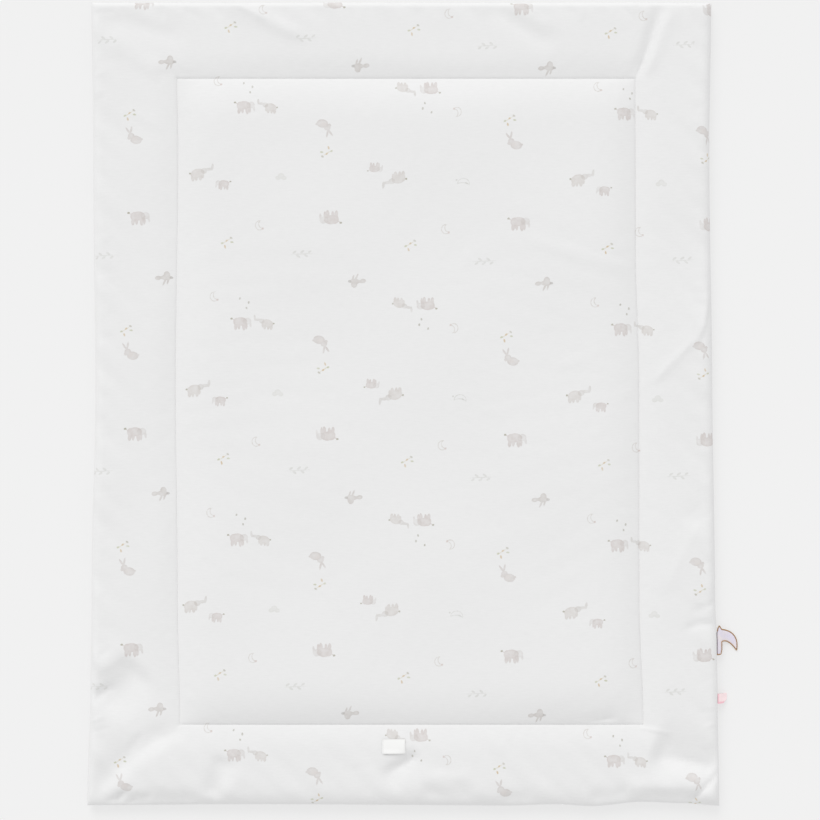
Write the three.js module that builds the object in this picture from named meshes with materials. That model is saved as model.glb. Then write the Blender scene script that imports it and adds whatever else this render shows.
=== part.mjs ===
// A padded play blanket lying flat: one filled quilt with a rectangle sewn through
// it, a bare label, a cloth play tag and a folded ribbon tab.
// Millimetres, +Z up. The origin is on the flat underside, at the middle of the quilt.
// +Y runs up the long way of the quilt and +X runs to the side that has the tags.

import * as THREE from "three";

// Driving sizes of the quilt
const TOP_Y = 475;
const BOTTOM_Y = -475;
const EDGE_HEIGHT = 9;
const EDGE_LIFT = 1.2;
const EDGE_ROLL = 14;
const TOP_ROLL = 8;
const BOTTOM_ROLL = 30;
const BORDER_CREST = 21.5;
const PANEL_CREST = 27.5;

// Driving sizes of the sewn rectangle
const SEAM_TOP_Y = 384.5;
const SEAM_BOTTOM_Y = -378.5;
const SEAM_HEIGHT = 17;
const SEAM_SLOPE_OUT = 32;
const SEAM_SLOPE_IN = 58;
const BORDER_FULLNESS = 2;
const PANEL_FULLNESS = 2.6;
const UNDER_GROOVE_DEPTH = 2.2;
const UNDER_GROOVE_HALF = 12;

// How finely the faces are cut
const POINT_SPACING = 10.6;
const BORDER_STEPS = [0, 0.03, 0.09, 0.19, 0.34, 0.52, 0.69, 0.82, 0.92, 1];
const SHOULDER_STEPS = [5, 14, 34];
const COARSE_INSET = 62;
const COARSE_ACROSS = 9;
const COARSE_ALONG = 12;
const UNDER_ROLL = [
  { inset: 0.03, height: 0.32 },
  { inset: 0.12, height: 0 },
];

// Where each long side lies, drawn in between its corners
const LEFT_SIDE = [
  { at: 475, is: -370 },
  { at: 300, is: -368 },
  { at: 20, is: -365.5 },
  { at: -230, is: -370 },
  { at: -340, is: -371.5 },
  { at: -475, is: -375 },
];
const RIGHT_SIDE = [
  { at: 475, is: 364 },
  { at: 300, is: 361.5 },
  { at: 30, is: 365 },
  { at: -230, is: 368.6 },
  { at: -285, is: 370.4 },
  { at: -340, is: 371.2 },
  { at: -475, is: 373.5 },
];
const BOTTOM_SIDE = [
  { at: -375, is: 0 },
  { at: -120, is: 1 },
  { at: 120, is: -0.8 },
  { at: 180, is: 1 },
  { at: 222, is: -1 },
  { at: 283, is: 4 },
  { at: 330, is: 2 },
  { at: 375, is: -1 },
];

// Where the two long sewn lines lie
const SEAM_LEFT = [
  { at: 385, is: -268.3 },
  { at: 300, is: -267 },
  { at: 28, is: -270 },
  { at: -230, is: -267.7 },
  { at: -379, is: -264.8 },
];
const SEAM_RIGHT = [
  { at: 385, is: 273 },
  { at: 180, is: 273.5 },
  { at: 28, is: 277.5 },
  { at: -230, is: 277.8 },
  { at: -379, is: 282.5 },
];

// The share of a fold's length over which its ends fade out, and how far they reach past it
const FOLD_END_FADE = 0.3;
const FOLD_END_REACH = 0.12;

// The main folds: a ridge has a positive rise and a trough a negative one. "bow" is
// how far the middle of the fold lies to the left of its straight line, "left" and
// "right" are how wide it is on each side, seen from its first end to its last.
const FOLDS = [
  { x1: -203, y1: 471, x2: -124, y2: 435, bow: 0, left: 8, right: 9, rise: 2.2 },
  { x1: -352, y1: 456, x2: -262, y2: 432, bow: 0, left: 12, right: 12, rise: -1.8 },
  { x1: -346, y1: 434, x2: -286, y2: 390, bow: 0, left: 12, right: 10, rise: 1.8 },
  { x1: 302, y1: 474, x2: 275, y2: 386, bow: 2, left: 10, right: 8, rise: -4 },
  { x1: 315, y1: 466, x2: 287, y2: 392, bow: 0, left: 9, right: 7, rise: 2.2 },
  { x1: 100, y1: 468, x2: 172, y2: 424, bow: 0, left: 11, right: 11, rise: -2 },
  { x1: 118, y1: 474, x2: 178, y2: 441, bow: 0, left: 9, right: 9, rise: 1.6 },
  { x1: 361, y1: 170, x2: 297, y2: 30, bow: 18, left: 9, right: 12, rise: 1 },
  { x1: -366, y1: -308, x2: -328, y2: -286, bow: 0, left: 10, right: 15, rise: 1.6 },
  { x1: -362, y1: -352, x2: -316, y2: -308, bow: -7, left: 19, right: 28, rise: -7.4 },
  { x1: -368, y1: -464, x2: -270, y2: -384, bow: 9, left: 18, right: 11, rise: -5.2 },
  { x1: -228, y1: -462, x2: -214, y2: -418, bow: 0, left: 10, right: 15, rise: -4.2 },
  { x1: -356, y1: -467, x2: -240, y2: -467, bow: 0, left: 10, right: 9, rise: -3.6 },
  { x1: -214, y1: -464, x2: -194, y2: -434, bow: 0, left: 9, right: 9, rise: 1.2 },
  { x1: 14, y1: -413, x2: -23, y2: -441, bow: 0, left: 14, right: 9, rise: -4.6 },
  { x1: 17, y1: -443, x2: 78, y2: -441, bow: 0, left: 9, right: 9, rise: 1.5 },
  { x1: 22, y1: -458, x2: 76, y2: -465, bow: 0, left: 9, right: 9, rise: -2.5 },
  { x1: 118, y1: -465, x2: 150, y2: -467, bow: 0, left: 9, right: 9, rise: -3 },
  { x1: 220, y1: -465, x2: 262, y2: -462, bow: 0, left: 9, right: 9, rise: -3 },
  { x1: 282, y1: -466, x2: 332, y2: -466, bow: 0, left: 10, right: 9, rise: -3 },
  { x1: 296, y1: -413, x2: 372, y2: -433, bow: 0, left: 30, right: 15, rise: -9.6 },
  { x1: 316, y1: -436, x2: 372, y2: -442, bow: 0, left: 9, right: 8, rise: 1.5 },
  { x1: 268, y1: -450, x2: 350, y2: -453, bow: 0, left: 10, right: 8, rise: 2.2 },
  { x1: 373, y1: -434, x2: 335, y2: -471, bow: 0, left: 9, right: 9, rise: -2 },
  { x1: 340, y1: -245, x2: 367, y2: -234, bow: 0, left: 8, right: 8, rise: -0.9 },
  { x1: 334, y1: -265, x2: 369, y2: -263, bow: 4, left: 8, right: 8, rise: -1 },
  { x1: 307, y1: -220, x2: 353, y2: -131, bow: 0, left: 14, right: 14, rise: 1 },
  { x1: 212, y1: -381, x2: 251, y2: -369, bow: 0, left: 9, right: 9, rise: -2 },
];

// Places where the wadding lies thicker or thinner than elsewhere
const PUFFS = [
  { x: -286, y: -414, radius: 32, rise: 2.5 },
  { x: 346, y: -132, radius: 16, rise: -2 },
  { x: -322, y: 330, radius: 40, rise: -1.2 },
  { x: -352, y: -90, radius: 34, rise: 1.5 },
  { x: 320, y: 250, radius: 45, rise: 1 },
  { x: 320, y: -330, radius: 34, rise: 1.2 },
  { x: -110, y: -420, radius: 60, rise: 1 },
  { x: 200, y: -418, radius: 45, rise: 1 },
  { x: 0, y: 425, radius: 90, rise: 1 },
];

// Small gathers that the outer seam pulls into the edge
const GATHER_LONG = 61;
const GATHER_SHORT = 37;
const GATHER_RISE = 0.5;
const GATHER_REACH = 30;
const GATHER_SHIFT = 0.16;

// The long soft waves of the wadding over the whole quilt
const WAVE_ACROSS = 310;
const WAVE_ALONG = 260;
const WAVE_RISE = 1.2;
const WAVE_SHIFT = 0.11;

// The bare label
const LABEL_X = -12;
const LABEL_Y = -403.7;
const LABEL_WIDTH = 27;
const LABEL_DEPTH = 17;
const LABEL_THICKNESS = 1.2;
const LABEL_COLUMNS = 6;
const LABEL_ROWS = 5;
const LABEL_GAP = 0.5;

// The cloth play tag: an upright bar with a curved leaf growing from its top half
const TAG_Y = -280;
const TAG_BAR_WIDTH = 6.2;
const TAG_BAR_HEIGHT = 35;
const TAG_NOSE = { x: 3.7, rise: 4.5, backX: 1.9, backRise: 3.1, shoulder: 9 };
const TAG_HEEL = { cut: 1.2, rise: 6 };
const TAG_LEAF_FOOT = { x: 7.2, top: 12.5, bottom: -1.5 };
const TAG_LEAF_TIP = { x: 24.5, y: -12.5 };
const TAG_LEAF_OUTER_PULL = { x: 28, y: 9.5 };
const TAG_LEAF_INNER_PULL = { x: 15, y: 1.5 };
const TAG_CURVE_STEPS = 10;
const TAG_THICKNESS = 2;

// The folded ribbon tab
const RIBBON_Y = -349;
const RIBBON_WIDTH = 11.6;
const RIBBON_LENGTH = 12;
const RIBBON_CUT = 4.2;
const RIBBON_CUT_FROM = 0.62;
const RIBBON_PLY = 0.9;
const RIBBON_HOLLOW = 1.1;
const RIBBON_STATIONS = 6;
const RIBBON_BEND_STEPS = 5;
const RIBBON_FOLD_STEPS = 6;

// How the two trims leave the outer seam and drop to the floor
const TRIM_EDGE_GAP = 0.5;
const TRIM_FLOOR_GAP = 0.2;
const TRIM_DROP = 7.6;
const TAG_DROP_LENGTH = 17;
const RIBBON_DROP_LENGTH = 12;

// Colours of the cloths
const COTTON_WHITE = "#ebebeb";
const LABEL_WHITE = "#f4f4f3";
const TAG_LAVENDER = "#dedbe6";
const RIBBON_PINK = "#fbd3db";

/** Goes smoothly from 0 to 1 while t goes from 0 to 1. */
function ease(t) {
  return THREE.MathUtils.smoothstep(t, 0, 1);
}

/** A sine that comes round once while t grows by 1. */
function swing(t) {
  return Math.sin(t * 2 * Math.PI);
}

/** Reads a side table at one place, easing from row to row. */
function along(table, at) {
  const rows = [...table].sort((a, b) => a.at - b.at);
  if (at <= rows[0].at) {
    return rows[0].is;
  }
  for (let i = 1; i < rows.length; i += 1) {
    if (at <= rows[i].at) {
      const t = (at - rows[i - 1].at) / (rows[i].at - rows[i - 1].at);
      return THREE.MathUtils.lerp(rows[i - 1].is, rows[i].is, ease(t));
    }
  }
  return rows[rows.length - 1].is;
}

const leftX = (y) => along(LEFT_SIDE, y);
const rightX = (y) => along(RIGHT_SIDE, y);
const bottomY = (x) => BOTTOM_Y + along(BOTTOM_SIDE, x);
const seamLeftX = (y) => along(SEAM_LEFT, y);
const seamRightX = (y) => along(SEAM_RIGHT, y);

/** How full the roll of the edge is at a distance from it: 0 at the edge, 1 inside. */
function edgeRoll(distance) {
  const t = 1 - THREE.MathUtils.clamp(distance / EDGE_ROLL, 0, 1);
  return Math.sqrt(1 - t * t);
}

/** How full the wadding is at a distance from the sewn line. */
function seamRise(distance, slope, fullness) {
  const t = 1 - THREE.MathUtils.clamp(distance / slope, 0, 1);
  return 1 - t ** fullness;
}

/** How far a point lies past the sewn rectangle's sides and ends, negative inside them. */
function pastSeam(x, y) {
  return {
    sides: Math.max(seamLeftX(y) - x, x - seamRightX(y)),
    ends: Math.max(SEAM_BOTTOM_Y - y, y - SEAM_TOP_Y),
  };
}

/** The height that one fold adds at a point. */
function foldRise(fold, x, y) {
  const dx = fold.x2 - fold.x1;
  const dy = fold.y2 - fold.y1;
  const length = Math.hypot(dx, dy);
  const u = ((x - fold.x1) * dx + (y - fold.y1) * dy) / (length * length);
  const v = ((y - fold.y1) * dx - (x - fold.x1) * dy) / length;
  const off = v - fold.bow * 4 * u * (1 - u);
  const width = off > 0 ? fold.left : fold.right;
  const start = ease((u + FOLD_END_REACH) / FOLD_END_FADE);
  const ends = start * ease((1 + FOLD_END_REACH - u) / FOLD_END_FADE);
  return fold.rise * ends * Math.exp(-((off / width) ** 2));
}

/** The height that one thicker or thinner place adds at a point. */
function puffRise(puff, x, y) {
  const squared = ((x - puff.x) ** 2 + (y - puff.y) ** 2) / puff.radius ** 2;
  return puff.rise * Math.exp(-squared);
}

/** The small gathers along the outer edge, fading inwards. */
function gatherRise(x, y, distance) {
  const run = x + y;
  const wave = swing(run / GATHER_LONG) + swing(run / GATHER_SHORT + GATHER_SHIFT);
  return GATHER_RISE * wave * Math.exp(-((distance / GATHER_REACH) ** 2));
}

/** Height of the seam that joins front and back at the outer edge. */
function edgeHeight(x, y) {
  return EDGE_HEIGHT + EDGE_LIFT * swing((x - y) / WAVE_ACROSS);
}

/** Height of the quilt's upper face. */
function topHeight(x, y) {
  const fromSide = Math.min(x - leftX(y), rightX(y) - x);
  const fromBottom = (y - bottomY(x)) * (EDGE_ROLL / BOTTOM_ROLL);
  const fromTop = (TOP_Y - y) * (EDGE_ROLL / TOP_ROLL);
  const fromEnd = Math.min(fromBottom, fromTop);
  const roll = edgeRoll(fromSide) * edgeRoll(fromEnd);
  const { sides, ends } = pastSeam(x, y);
  const inside = sides < 0 && ends < 0;
  const outward = Math.hypot(Math.max(sides, 0), Math.max(ends, 0));
  const acrossRise = seamRise(-sides, SEAM_SLOPE_IN, PANEL_FULLNESS);
  const panelRise = acrossRise * seamRise(-ends, SEAM_SLOPE_IN, PANEL_FULLNESS);
  const rise = inside ? panelRise : seamRise(outward, SEAM_SLOPE_OUT, BORDER_FULLNESS);
  const wave = swing(x / WAVE_ACROSS + WAVE_SHIFT) * swing(y / WAVE_ALONG);
  let crest = (inside ? PANEL_CREST : BORDER_CREST) + WAVE_RISE * wave;
  FOLDS.forEach((fold) => {
    crest += foldRise(fold, x, y);
  });
  PUFFS.forEach((puff) => {
    crest += puffRise(puff, x, y);
  });
  if (!inside) {
    crest += gatherRise(x, y, Math.min(fromSide, fromEnd));
  }
  const edge = edgeHeight(x, y);
  const low = THREE.MathUtils.lerp(edge, SEAM_HEIGHT, ease(Math.min(fromSide, fromEnd) / EDGE_ROLL));
  return low + (crest - low) * roll * rise;
}

/** A growing list of points and triangles for one closed piece. */
class Shell {
  constructor() {
    this.points = [];
    this.faces = [];
  }

  point(x, y, z) {
    this.points.push(x, y, z);
    return this.points.length / 3 - 1;
  }

  /** Adds a face; "up" is false where the face belongs to the underside. */
  face(a, b, c, up) {
    this.faces.push(...(up ? [a, b, c] : [a, c, b]));
  }

  /** Joins an outer ring to an inner ring that has as many points on each side. */
  strip(outer, inner, up) {
    outer.forEach((side, s) => {
      for (let i = 0; i < side.length - 1; i += 1) {
        this.face(side[i], side[i + 1], inner[s][i + 1], up);
        this.face(side[i], inner[s][i + 1], inner[s][i], up);
      }
    });
  }

  /** Joins an outer ring to an inner ring that has fewer points. */
  zip(outer, inner, up) {
    outer.forEach((side, s) => {
      const far = inner[s];
      const sideSteps = side.length - 1;
      const farSteps = far.length - 1;
      let i = 0;
      let j = 0;
      while (i < sideSteps || j < farSteps) {
        const sideFirst = (i + 0.5) / sideSteps <= (j + 0.5) / farSteps;
        if (j === farSteps || (i < sideSteps && sideFirst)) {
          this.face(side[i], side[i + 1], far[j], up);
          i += 1;
        } else {
          this.face(side[i], far[j + 1], far[j], up);
          j += 1;
        }
      }
    });
  }

  /** Makes a ring of four sides, anticlockwise from the lower left corner. */
  ring(counts, place) {
    const sides = [];
    counts.forEach((count, s) => {
      const side = s === 0 ? [this.point(...place(0, 0))] : [sides[s - 1][sides[s - 1].length - 1]];
      for (let i = 1; i <= count; i += 1) {
        const closes = s === 3 && i === count;
        side.push(closes ? sides[0][0] : this.point(...place(s, i / count)));
      }
      sides.push(side);
    });
    return sides;
  }

  /** Makes a grid with its faces and returns the ring around it. */
  grid(columns, rows, place, up) {
    const net = [];
    for (let j = 0; j <= rows; j += 1) {
      const row = [];
      for (let i = 0; i <= columns; i += 1) {
        row.push(this.point(...place(i / columns, j / rows)));
      }
      net.push(row);
    }
    for (let j = 0; j < rows; j += 1) {
      for (let i = 0; i < columns; i += 1) {
        this.face(net[j][i], net[j][i + 1], net[j + 1][i + 1], up);
        this.face(net[j][i], net[j + 1][i + 1], net[j + 1][i], up);
      }
    }
    const bottom = net[0];
    const right = net.map((row) => row[columns]);
    const top = [...net[rows]].reverse();
    const left = net.map((row) => row[0]).reverse();
    return [bottom, right, top, left];
  }

  mesh(name, colour, roughness) {
    const geometry = new THREE.BufferGeometry();
    geometry.setAttribute("position", new THREE.Float32BufferAttribute(this.points, 3));
    geometry.setIndex(this.faces);
    geometry.computeVertexNormals();
    return named(geometry, name, colour, roughness);
  }
}

/** A named mesh with its own material. */
function named(geometry, name, colour, roughness) {
  const material = new THREE.MeshStandardMaterial({ color: colour, roughness, metalness: 0 });
  const mesh = new THREE.Mesh(geometry, material);
  mesh.name = name;
  return mesh;
}

/** A point of the outer outline, on side s, a share t along it. */
function outlinePoint(s, t) {
  const low = BOTTOM_Y;
  if (s === 0) {
    const x = THREE.MathUtils.lerp(leftX(low), rightX(low), t);
    return [x, bottomY(x)];
  }
  if (s === 2) {
    return [THREE.MathUtils.lerp(rightX(TOP_Y), leftX(TOP_Y), t), TOP_Y];
  }
  const start = s === 1 ? bottomY(rightX(low)) : TOP_Y;
  const end = s === 1 ? TOP_Y : bottomY(leftX(low));
  const y = THREE.MathUtils.lerp(start, end, t);
  return [s === 1 ? rightX(y) : leftX(y), y];
}

/** A point of the sewn rectangle drawn in by an inset, on side s, a share t along it. */
function seamPoint(s, t, inset) {
  const low = SEAM_BOTTOM_Y + inset;
  const high = SEAM_TOP_Y - inset;
  if (s === 0 || s === 2) {
    const y = s === 0 ? low : high;
    const share = s === 0 ? t : 1 - t;
    return [THREE.MathUtils.lerp(seamLeftX(y) + inset, seamRightX(y) - inset, share), y];
  }
  const y = THREE.MathUtils.lerp(low, high, s === 1 ? t : 1 - t);
  return [s === 1 ? seamRightX(y) - inset : seamLeftX(y) + inset, y];
}

/** A point inside the sewn rectangle, by shares across and along. */
function panelPoint(across, upward, inset) {
  const y = THREE.MathUtils.lerp(SEAM_BOTTOM_Y + inset, SEAM_TOP_Y - inset, upward);
  return [THREE.MathUtils.lerp(seamLeftX(y) + inset, seamRightX(y) - inset, across), y];
}

/** A point of the border, a share f of the way from the outline to the sewn line. */
function borderPoint(s, t, f) {
  const [xo, yo] = outlinePoint(s, t);
  const [xs, ys] = seamPoint(s, t, 0);
  return [THREE.MathUtils.lerp(xo, xs, f), THREE.MathUtils.lerp(yo, ys, f)];
}

/** The filled quilt: front and back cloth over wadding, sewn through on a rectangle. */
function quilt() {
  const shell = new Shell();
  const columns = Math.round((rightX(0) - leftX(0)) / POINT_SPACING);
  const rows = Math.round((TOP_Y - BOTTOM_Y) / POINT_SPACING);
  const fine = [columns, rows, columns, rows];
  const coarse = [COARSE_ACROSS, COARSE_ALONG, COARSE_ACROSS, COARSE_ALONG];
  const topAt = ([x, y]) => [x, y, topHeight(x, y)];
  const rim = shell.ring(fine, (s, t) => {
    const [x, y] = outlinePoint(s, t);
    return [x, y, edgeHeight(x, y)];
  });

  // The upper face of the border
  let outer = rim;
  BORDER_STEPS.slice(1).forEach((f) => {
    const inner = shell.ring(fine, (s, t) => topAt(borderPoint(s, t, f)));
    shell.strip(outer, inner, true);
    outer = inner;
  });

  // The upper face of the panel
  SHOULDER_STEPS.forEach((inset) => {
    const inner = shell.ring(fine, (s, t) => topAt(seamPoint(s, t, inset)));
    shell.strip(outer, inner, true);
    outer = inner;
  });
  const panelTop = (u, v) => topAt(panelPoint(u, v, COARSE_INSET));
  shell.zip(outer, shell.grid(COARSE_ACROSS, COARSE_ALONG, panelTop, true), true);

  // The underside: the edge rolls down to a flat face with a shallow groove
  outer = rim;
  UNDER_ROLL.forEach(({ inset, height }) => {
    const inner = shell.ring(fine, (s, t) => {
      const [x, y] = borderPoint(s, t, inset);
      return [x, y, edgeHeight(x, y) * height];
    });
    shell.strip(outer, inner, false);
    outer = inner;
  });
  const groove = [-UNDER_GROOVE_HALF, 0, UNDER_GROOVE_HALF].map((inset) => shell.ring(coarse, (s, t) => {
    const depth = inset === 0 ? UNDER_GROOVE_DEPTH : 0;
    return [...seamPoint(s, t, inset), depth];
  }));
  shell.zip(outer, groove[0], false);
  shell.strip(groove[0], groove[1], false);
  shell.strip(groove[1], groove[2], false);
  const panelUnder = (u, v) => [...panelPoint(u, v, COARSE_INSET), 0];
  shell.strip(groove[2], shell.grid(COARSE_ACROSS, COARSE_ALONG, panelUnder, false), false);
  return shell.mesh("quilt", COTTON_WHITE, 0.9);
}

/** The bare label, lying on the lower border just under the sewn line. */
function label() {
  const shell = new Shell();
  const lay = (lift) => (u, v) => {
    const x = LABEL_X + (u - 0.5) * LABEL_WIDTH;
    const y = LABEL_Y + (v - 0.5) * LABEL_DEPTH;
    return [x, y, topHeight(x, y) + lift];
  };
  const upper = shell.grid(LABEL_COLUMNS, LABEL_ROWS, lay(LABEL_GAP + LABEL_THICKNESS), true);
  const lower = shell.grid(LABEL_COLUMNS, LABEL_ROWS, lay(LABEL_GAP), false);
  shell.strip(lower, upper, true);
  return shell.mesh("label", LABEL_WHITE, 0.7);
}

/** Height of the underside of a trim that hangs from the outer seam to the floor. */
function dropHeight(out, length) {
  return TRIM_FLOOR_GAP + TRIM_DROP * (1 - ease(out / length));
}

/** The cloth play tag that is caught in the right-hand seam. */
function playTag() {
  const half = TAG_BAR_HEIGHT / 2;
  const outline = new THREE.Shape();
  const inner = TAG_LEAF_INNER_PULL;
  const outer = TAG_LEAF_OUTER_PULL;
  const tip = TAG_LEAF_TIP;
  outline.moveTo(0, -half);
  outline.lineTo(TAG_BAR_WIDTH - TAG_HEEL.cut, -half + TAG_HEEL.cut);
  outline.lineTo(TAG_BAR_WIDTH, -half + TAG_HEEL.rise);
  outline.lineTo(TAG_BAR_WIDTH, TAG_LEAF_FOOT.bottom);
  outline.quadraticCurveTo(inner.x, inner.y, tip.x, tip.y);
  outline.quadraticCurveTo(outer.x, outer.y, TAG_LEAF_FOOT.x, TAG_LEAF_FOOT.top);
  outline.lineTo(TAG_BAR_WIDTH, half - TAG_NOSE.rise);
  outline.lineTo(TAG_NOSE.x, half);
  outline.lineTo(TAG_NOSE.backX, half - TAG_NOSE.backRise);
  outline.lineTo(0, half - TAG_NOSE.shoulder);
  const geometry = new THREE.ExtrudeGeometry(outline, {
    depth: TAG_THICKNESS,
    bevelEnabled: false,
    curveSegments: TAG_CURVE_STEPS,
  });
  const edge = Math.max(rightX(TAG_Y - half), rightX(TAG_Y + half)) + TRIM_EDGE_GAP;
  const spots = geometry.getAttribute("position");
  for (let i = 0; i < spots.count; i += 1) {
    const x = spots.getX(i);
    const z = dropHeight(x, TAG_DROP_LENGTH) + spots.getZ(i);
    spots.setXYZ(i, edge + x, TAG_Y + spots.getY(i), z);
  }
  geometry.computeVertexNormals();
  return named(geometry, "play_tag", TAG_LAVENDER, 0.8);
}

/** One side of the folded ribbon, out along its lower run, round the fold and back. */
function hairpin(reach, radius) {
  const run = [];
  for (let i = 0; i <= RIBBON_BEND_STEPS; i += 1) {
    run.push([reach * i / RIBBON_BEND_STEPS, -radius]);
  }
  for (let i = 1; i < RIBBON_FOLD_STEPS; i += 1) {
    const turn = Math.PI * (i / RIBBON_FOLD_STEPS - 0.5);
    run.push([reach + radius * Math.cos(turn), radius * Math.sin(turn)]);
  }
  for (let i = RIBBON_BEND_STEPS; i >= 0; i -= 1) {
    run.push([reach * i / RIBBON_BEND_STEPS, radius]);
  }
  return run;
}

/** The ribbon tab: two plies folded at their far end, hanging to the floor. */
function ribbonTab() {
  const shell = new Shell();
  const edge = Math.max(rightX(RIBBON_Y), rightX(RIBBON_Y - RIBBON_WIDTH / 2)) + TRIM_EDGE_GAP;
  const inside = RIBBON_HOLLOW / 2;
  const outside = inside + RIBBON_PLY;
  const section = (length) => {
    const reach = length - outside;
    return [...hairpin(reach, outside), ...hairpin(reach, inside).reverse()];
  };
  const loops = [];
  for (let k = 0; k <= RIBBON_STATIONS; k += 1) {
    const share = k / RIBBON_STATIONS;
    const y = RIBBON_Y + (0.5 - share) * RIBBON_WIDTH;
    const cut = Math.max(0, share - RIBBON_CUT_FROM) / (1 - RIBBON_CUT_FROM);
    const points = section(RIBBON_LENGTH - RIBBON_CUT * cut);
    const lift = (out) => dropHeight(out, RIBBON_DROP_LENGTH) + outside;
    loops.push(points.map(([out, z]) => shell.point(edge + out, y, lift(out) + z)));
  }
  const count = loops[0].length;
  for (let k = 0; k < RIBBON_STATIONS; k += 1) {
    for (let i = 0; i < count; i += 1) {
      const j = (i + 1) % count;
      shell.face(loops[k][i], loops[k + 1][i], loops[k + 1][j], false);
      shell.face(loops[k][i], loops[k + 1][j], loops[k][j], false);
    }
  }
  for (let i = 0; i < count / 2 - 1; i += 1) {
    const ply = [i, i + 1, count - 2 - i, count - 1 - i];
    [[loops[0], false], [loops[RIBBON_STATIONS], true]].forEach(([loop, up]) => {
      shell.face(loop[ply[0]], loop[ply[1]], loop[ply[2]], up);
      shell.face(loop[ply[0]], loop[ply[2]], loop[ply[3]], up);
    });
  }
  return shell.mesh("ribbon_tab", RIBBON_PINK, 0.45);
}

const group = new THREE.Group();
group.add(quilt(), label(), playTag(), ribbonTab());

export default group;
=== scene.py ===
"""A padded play blanket lying flat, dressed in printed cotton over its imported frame.

The quilt is one filled solid, so its upper face is a net of points whose heights come from
the same named sizes as the solid's, with simulated cloth over it and its finer creases.
Lengths are in millimetres until a mesh is made, and +Z is up.
"""

import logging
import math
from dataclasses import dataclass, field
from enum import Enum

import bpy
import numpy as np
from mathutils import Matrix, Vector
from mathutils.geometry import delaunay_2d_cdt


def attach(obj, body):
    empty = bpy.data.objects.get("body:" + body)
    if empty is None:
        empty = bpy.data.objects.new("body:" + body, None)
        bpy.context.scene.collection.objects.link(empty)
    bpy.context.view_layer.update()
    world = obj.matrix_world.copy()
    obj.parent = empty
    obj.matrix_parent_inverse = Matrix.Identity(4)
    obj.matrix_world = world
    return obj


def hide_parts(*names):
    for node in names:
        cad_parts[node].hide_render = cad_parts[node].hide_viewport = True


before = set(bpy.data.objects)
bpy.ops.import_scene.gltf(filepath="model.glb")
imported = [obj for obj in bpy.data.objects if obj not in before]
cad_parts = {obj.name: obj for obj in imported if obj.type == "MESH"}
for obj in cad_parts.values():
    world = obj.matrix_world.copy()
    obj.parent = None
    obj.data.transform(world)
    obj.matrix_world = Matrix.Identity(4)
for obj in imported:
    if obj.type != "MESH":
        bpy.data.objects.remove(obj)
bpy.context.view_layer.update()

MM = 0.001
BODY = "root"
CLOTH_MAP = "cloth"
# A Wave Texture of scale 1 repeats once in this length
WAVE_LENGTH = math.pi / 10
LOG = logging.getLogger("play_blanket")

Row = tuple[float, float]
Colour = tuple[float, float, float, float]
Array = np.ndarray
Piece = bpy.types.Object
Material = bpy.types.Material
Tree = bpy.types.NodeTree
Socket = bpy.types.NodeSocket


def ease(t: Array) -> Array:
    """Goes smoothly from 0 to 1 while t goes from 0 to 1."""
    t = np.clip(t, 0.0, 1.0)
    return t * t * (3.0 - 2.0 * t)


def swing(t: Array) -> Array:
    """A sine that comes round once while t grows by 1."""
    return np.sin(t * 2.0 * math.pi)


def along(rows: tuple[Row, ...], at: Array) -> Array:
    """Reads a side table, easing from row to row.

    Args:
        rows: Pairs of a place and the value there, in rising order of place.
        at: The places to read.

    Returns:
        The value at each place.
    """
    places = np.array([row[0] for row in rows])
    values = np.array([row[1] for row in rows])
    at = np.clip(at, places[0], places[-1])
    i = np.clip(np.searchsorted(places, at, side="right") - 1, 0, len(places) - 2)
    t = (at - places[i]) / (places[i + 1] - places[i])
    return values[i] + (values[i + 1] - values[i]) * ease(t)


def linear(colour: str) -> Colour:
    """Turns an sRGB hex colour into linear light.

    Args:
        colour: The colour, such as "#ebebeb".

    Returns:
        Its linear red, green and blue, with an alpha of 1.
    """
    parts = [int(colour[i:i + 2], 16) / 255.0 for i in (1, 3, 5)]
    turned = [c / 12.92 if c <= 0.04045 else ((c + 0.055) / 1.055) ** 2.4 for c in parts]
    return (*turned, 1.0)


def shaded(colour: Colour, share: float) -> Colour:
    """Makes a linear colour lighter or darker by a share."""
    return (*(min(part * share, 1.0) for part in colour[:3]), 1.0)


def add_node(
    tree: Tree, kind: str, inputs: dict | None = None, out: int | str = 0, **settings: object
) -> Socket | None:
    """Adds one node with its settings and links.

    Args:
        tree: The node tree that gets the node.
        kind: The node's type name.
        inputs: Socket name or number to a value, or to the output socket that feeds it.
        out: The name or number of the output to hand back.
        settings: Properties of the node itself.

    Returns:
        That output of the new node, or None where it has no outputs.
    """
    made = tree.nodes.new(kind)
    for name, value in settings.items():
        setattr(made, name, value)
    for key, value in (inputs or {}).items():
        if isinstance(value, Socket):
            tree.links.new(value, made.inputs[key])
        else:
            made.inputs[key].default_value = value
    return made.outputs[out] if made.outputs else None


def mesh_object(name: str, points: Array, faces: list, edges: list | None = None) -> Piece:
    """Makes a mesh object at the origin from points in millimetres.

    Args:
        name: The name of the object and of its mesh.
        points: One row of x, y, z for each point.
        faces: Lists of point numbers, anticlockwise from outside.
        edges: Pairs of point numbers, where the mesh is a bare path.

    Returns:
        The linked object.
    """
    mesh = bpy.data.meshes.new(name)
    mesh.from_pydata((np.asarray(points) * MM).tolist(), edges or [], faces)
    mesh.update()
    made = bpy.data.objects.new(name, mesh)
    bpy.context.scene.collection.objects.link(made)
    return made


def shade_smooth(piece: Piece, crease: float | None = None) -> None:
    """Makes a piece smooth.

    Args:
        piece: The piece.
        crease: The angle in degrees past which an edge stays sharp, where any does.
    """
    piece.data.polygons.foreach_set("use_smooth", [True] * len(piece.data.polygons))
    if crease is not None:
        piece.data.set_sharp_from_angle(angle=math.radians(crease))


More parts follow.
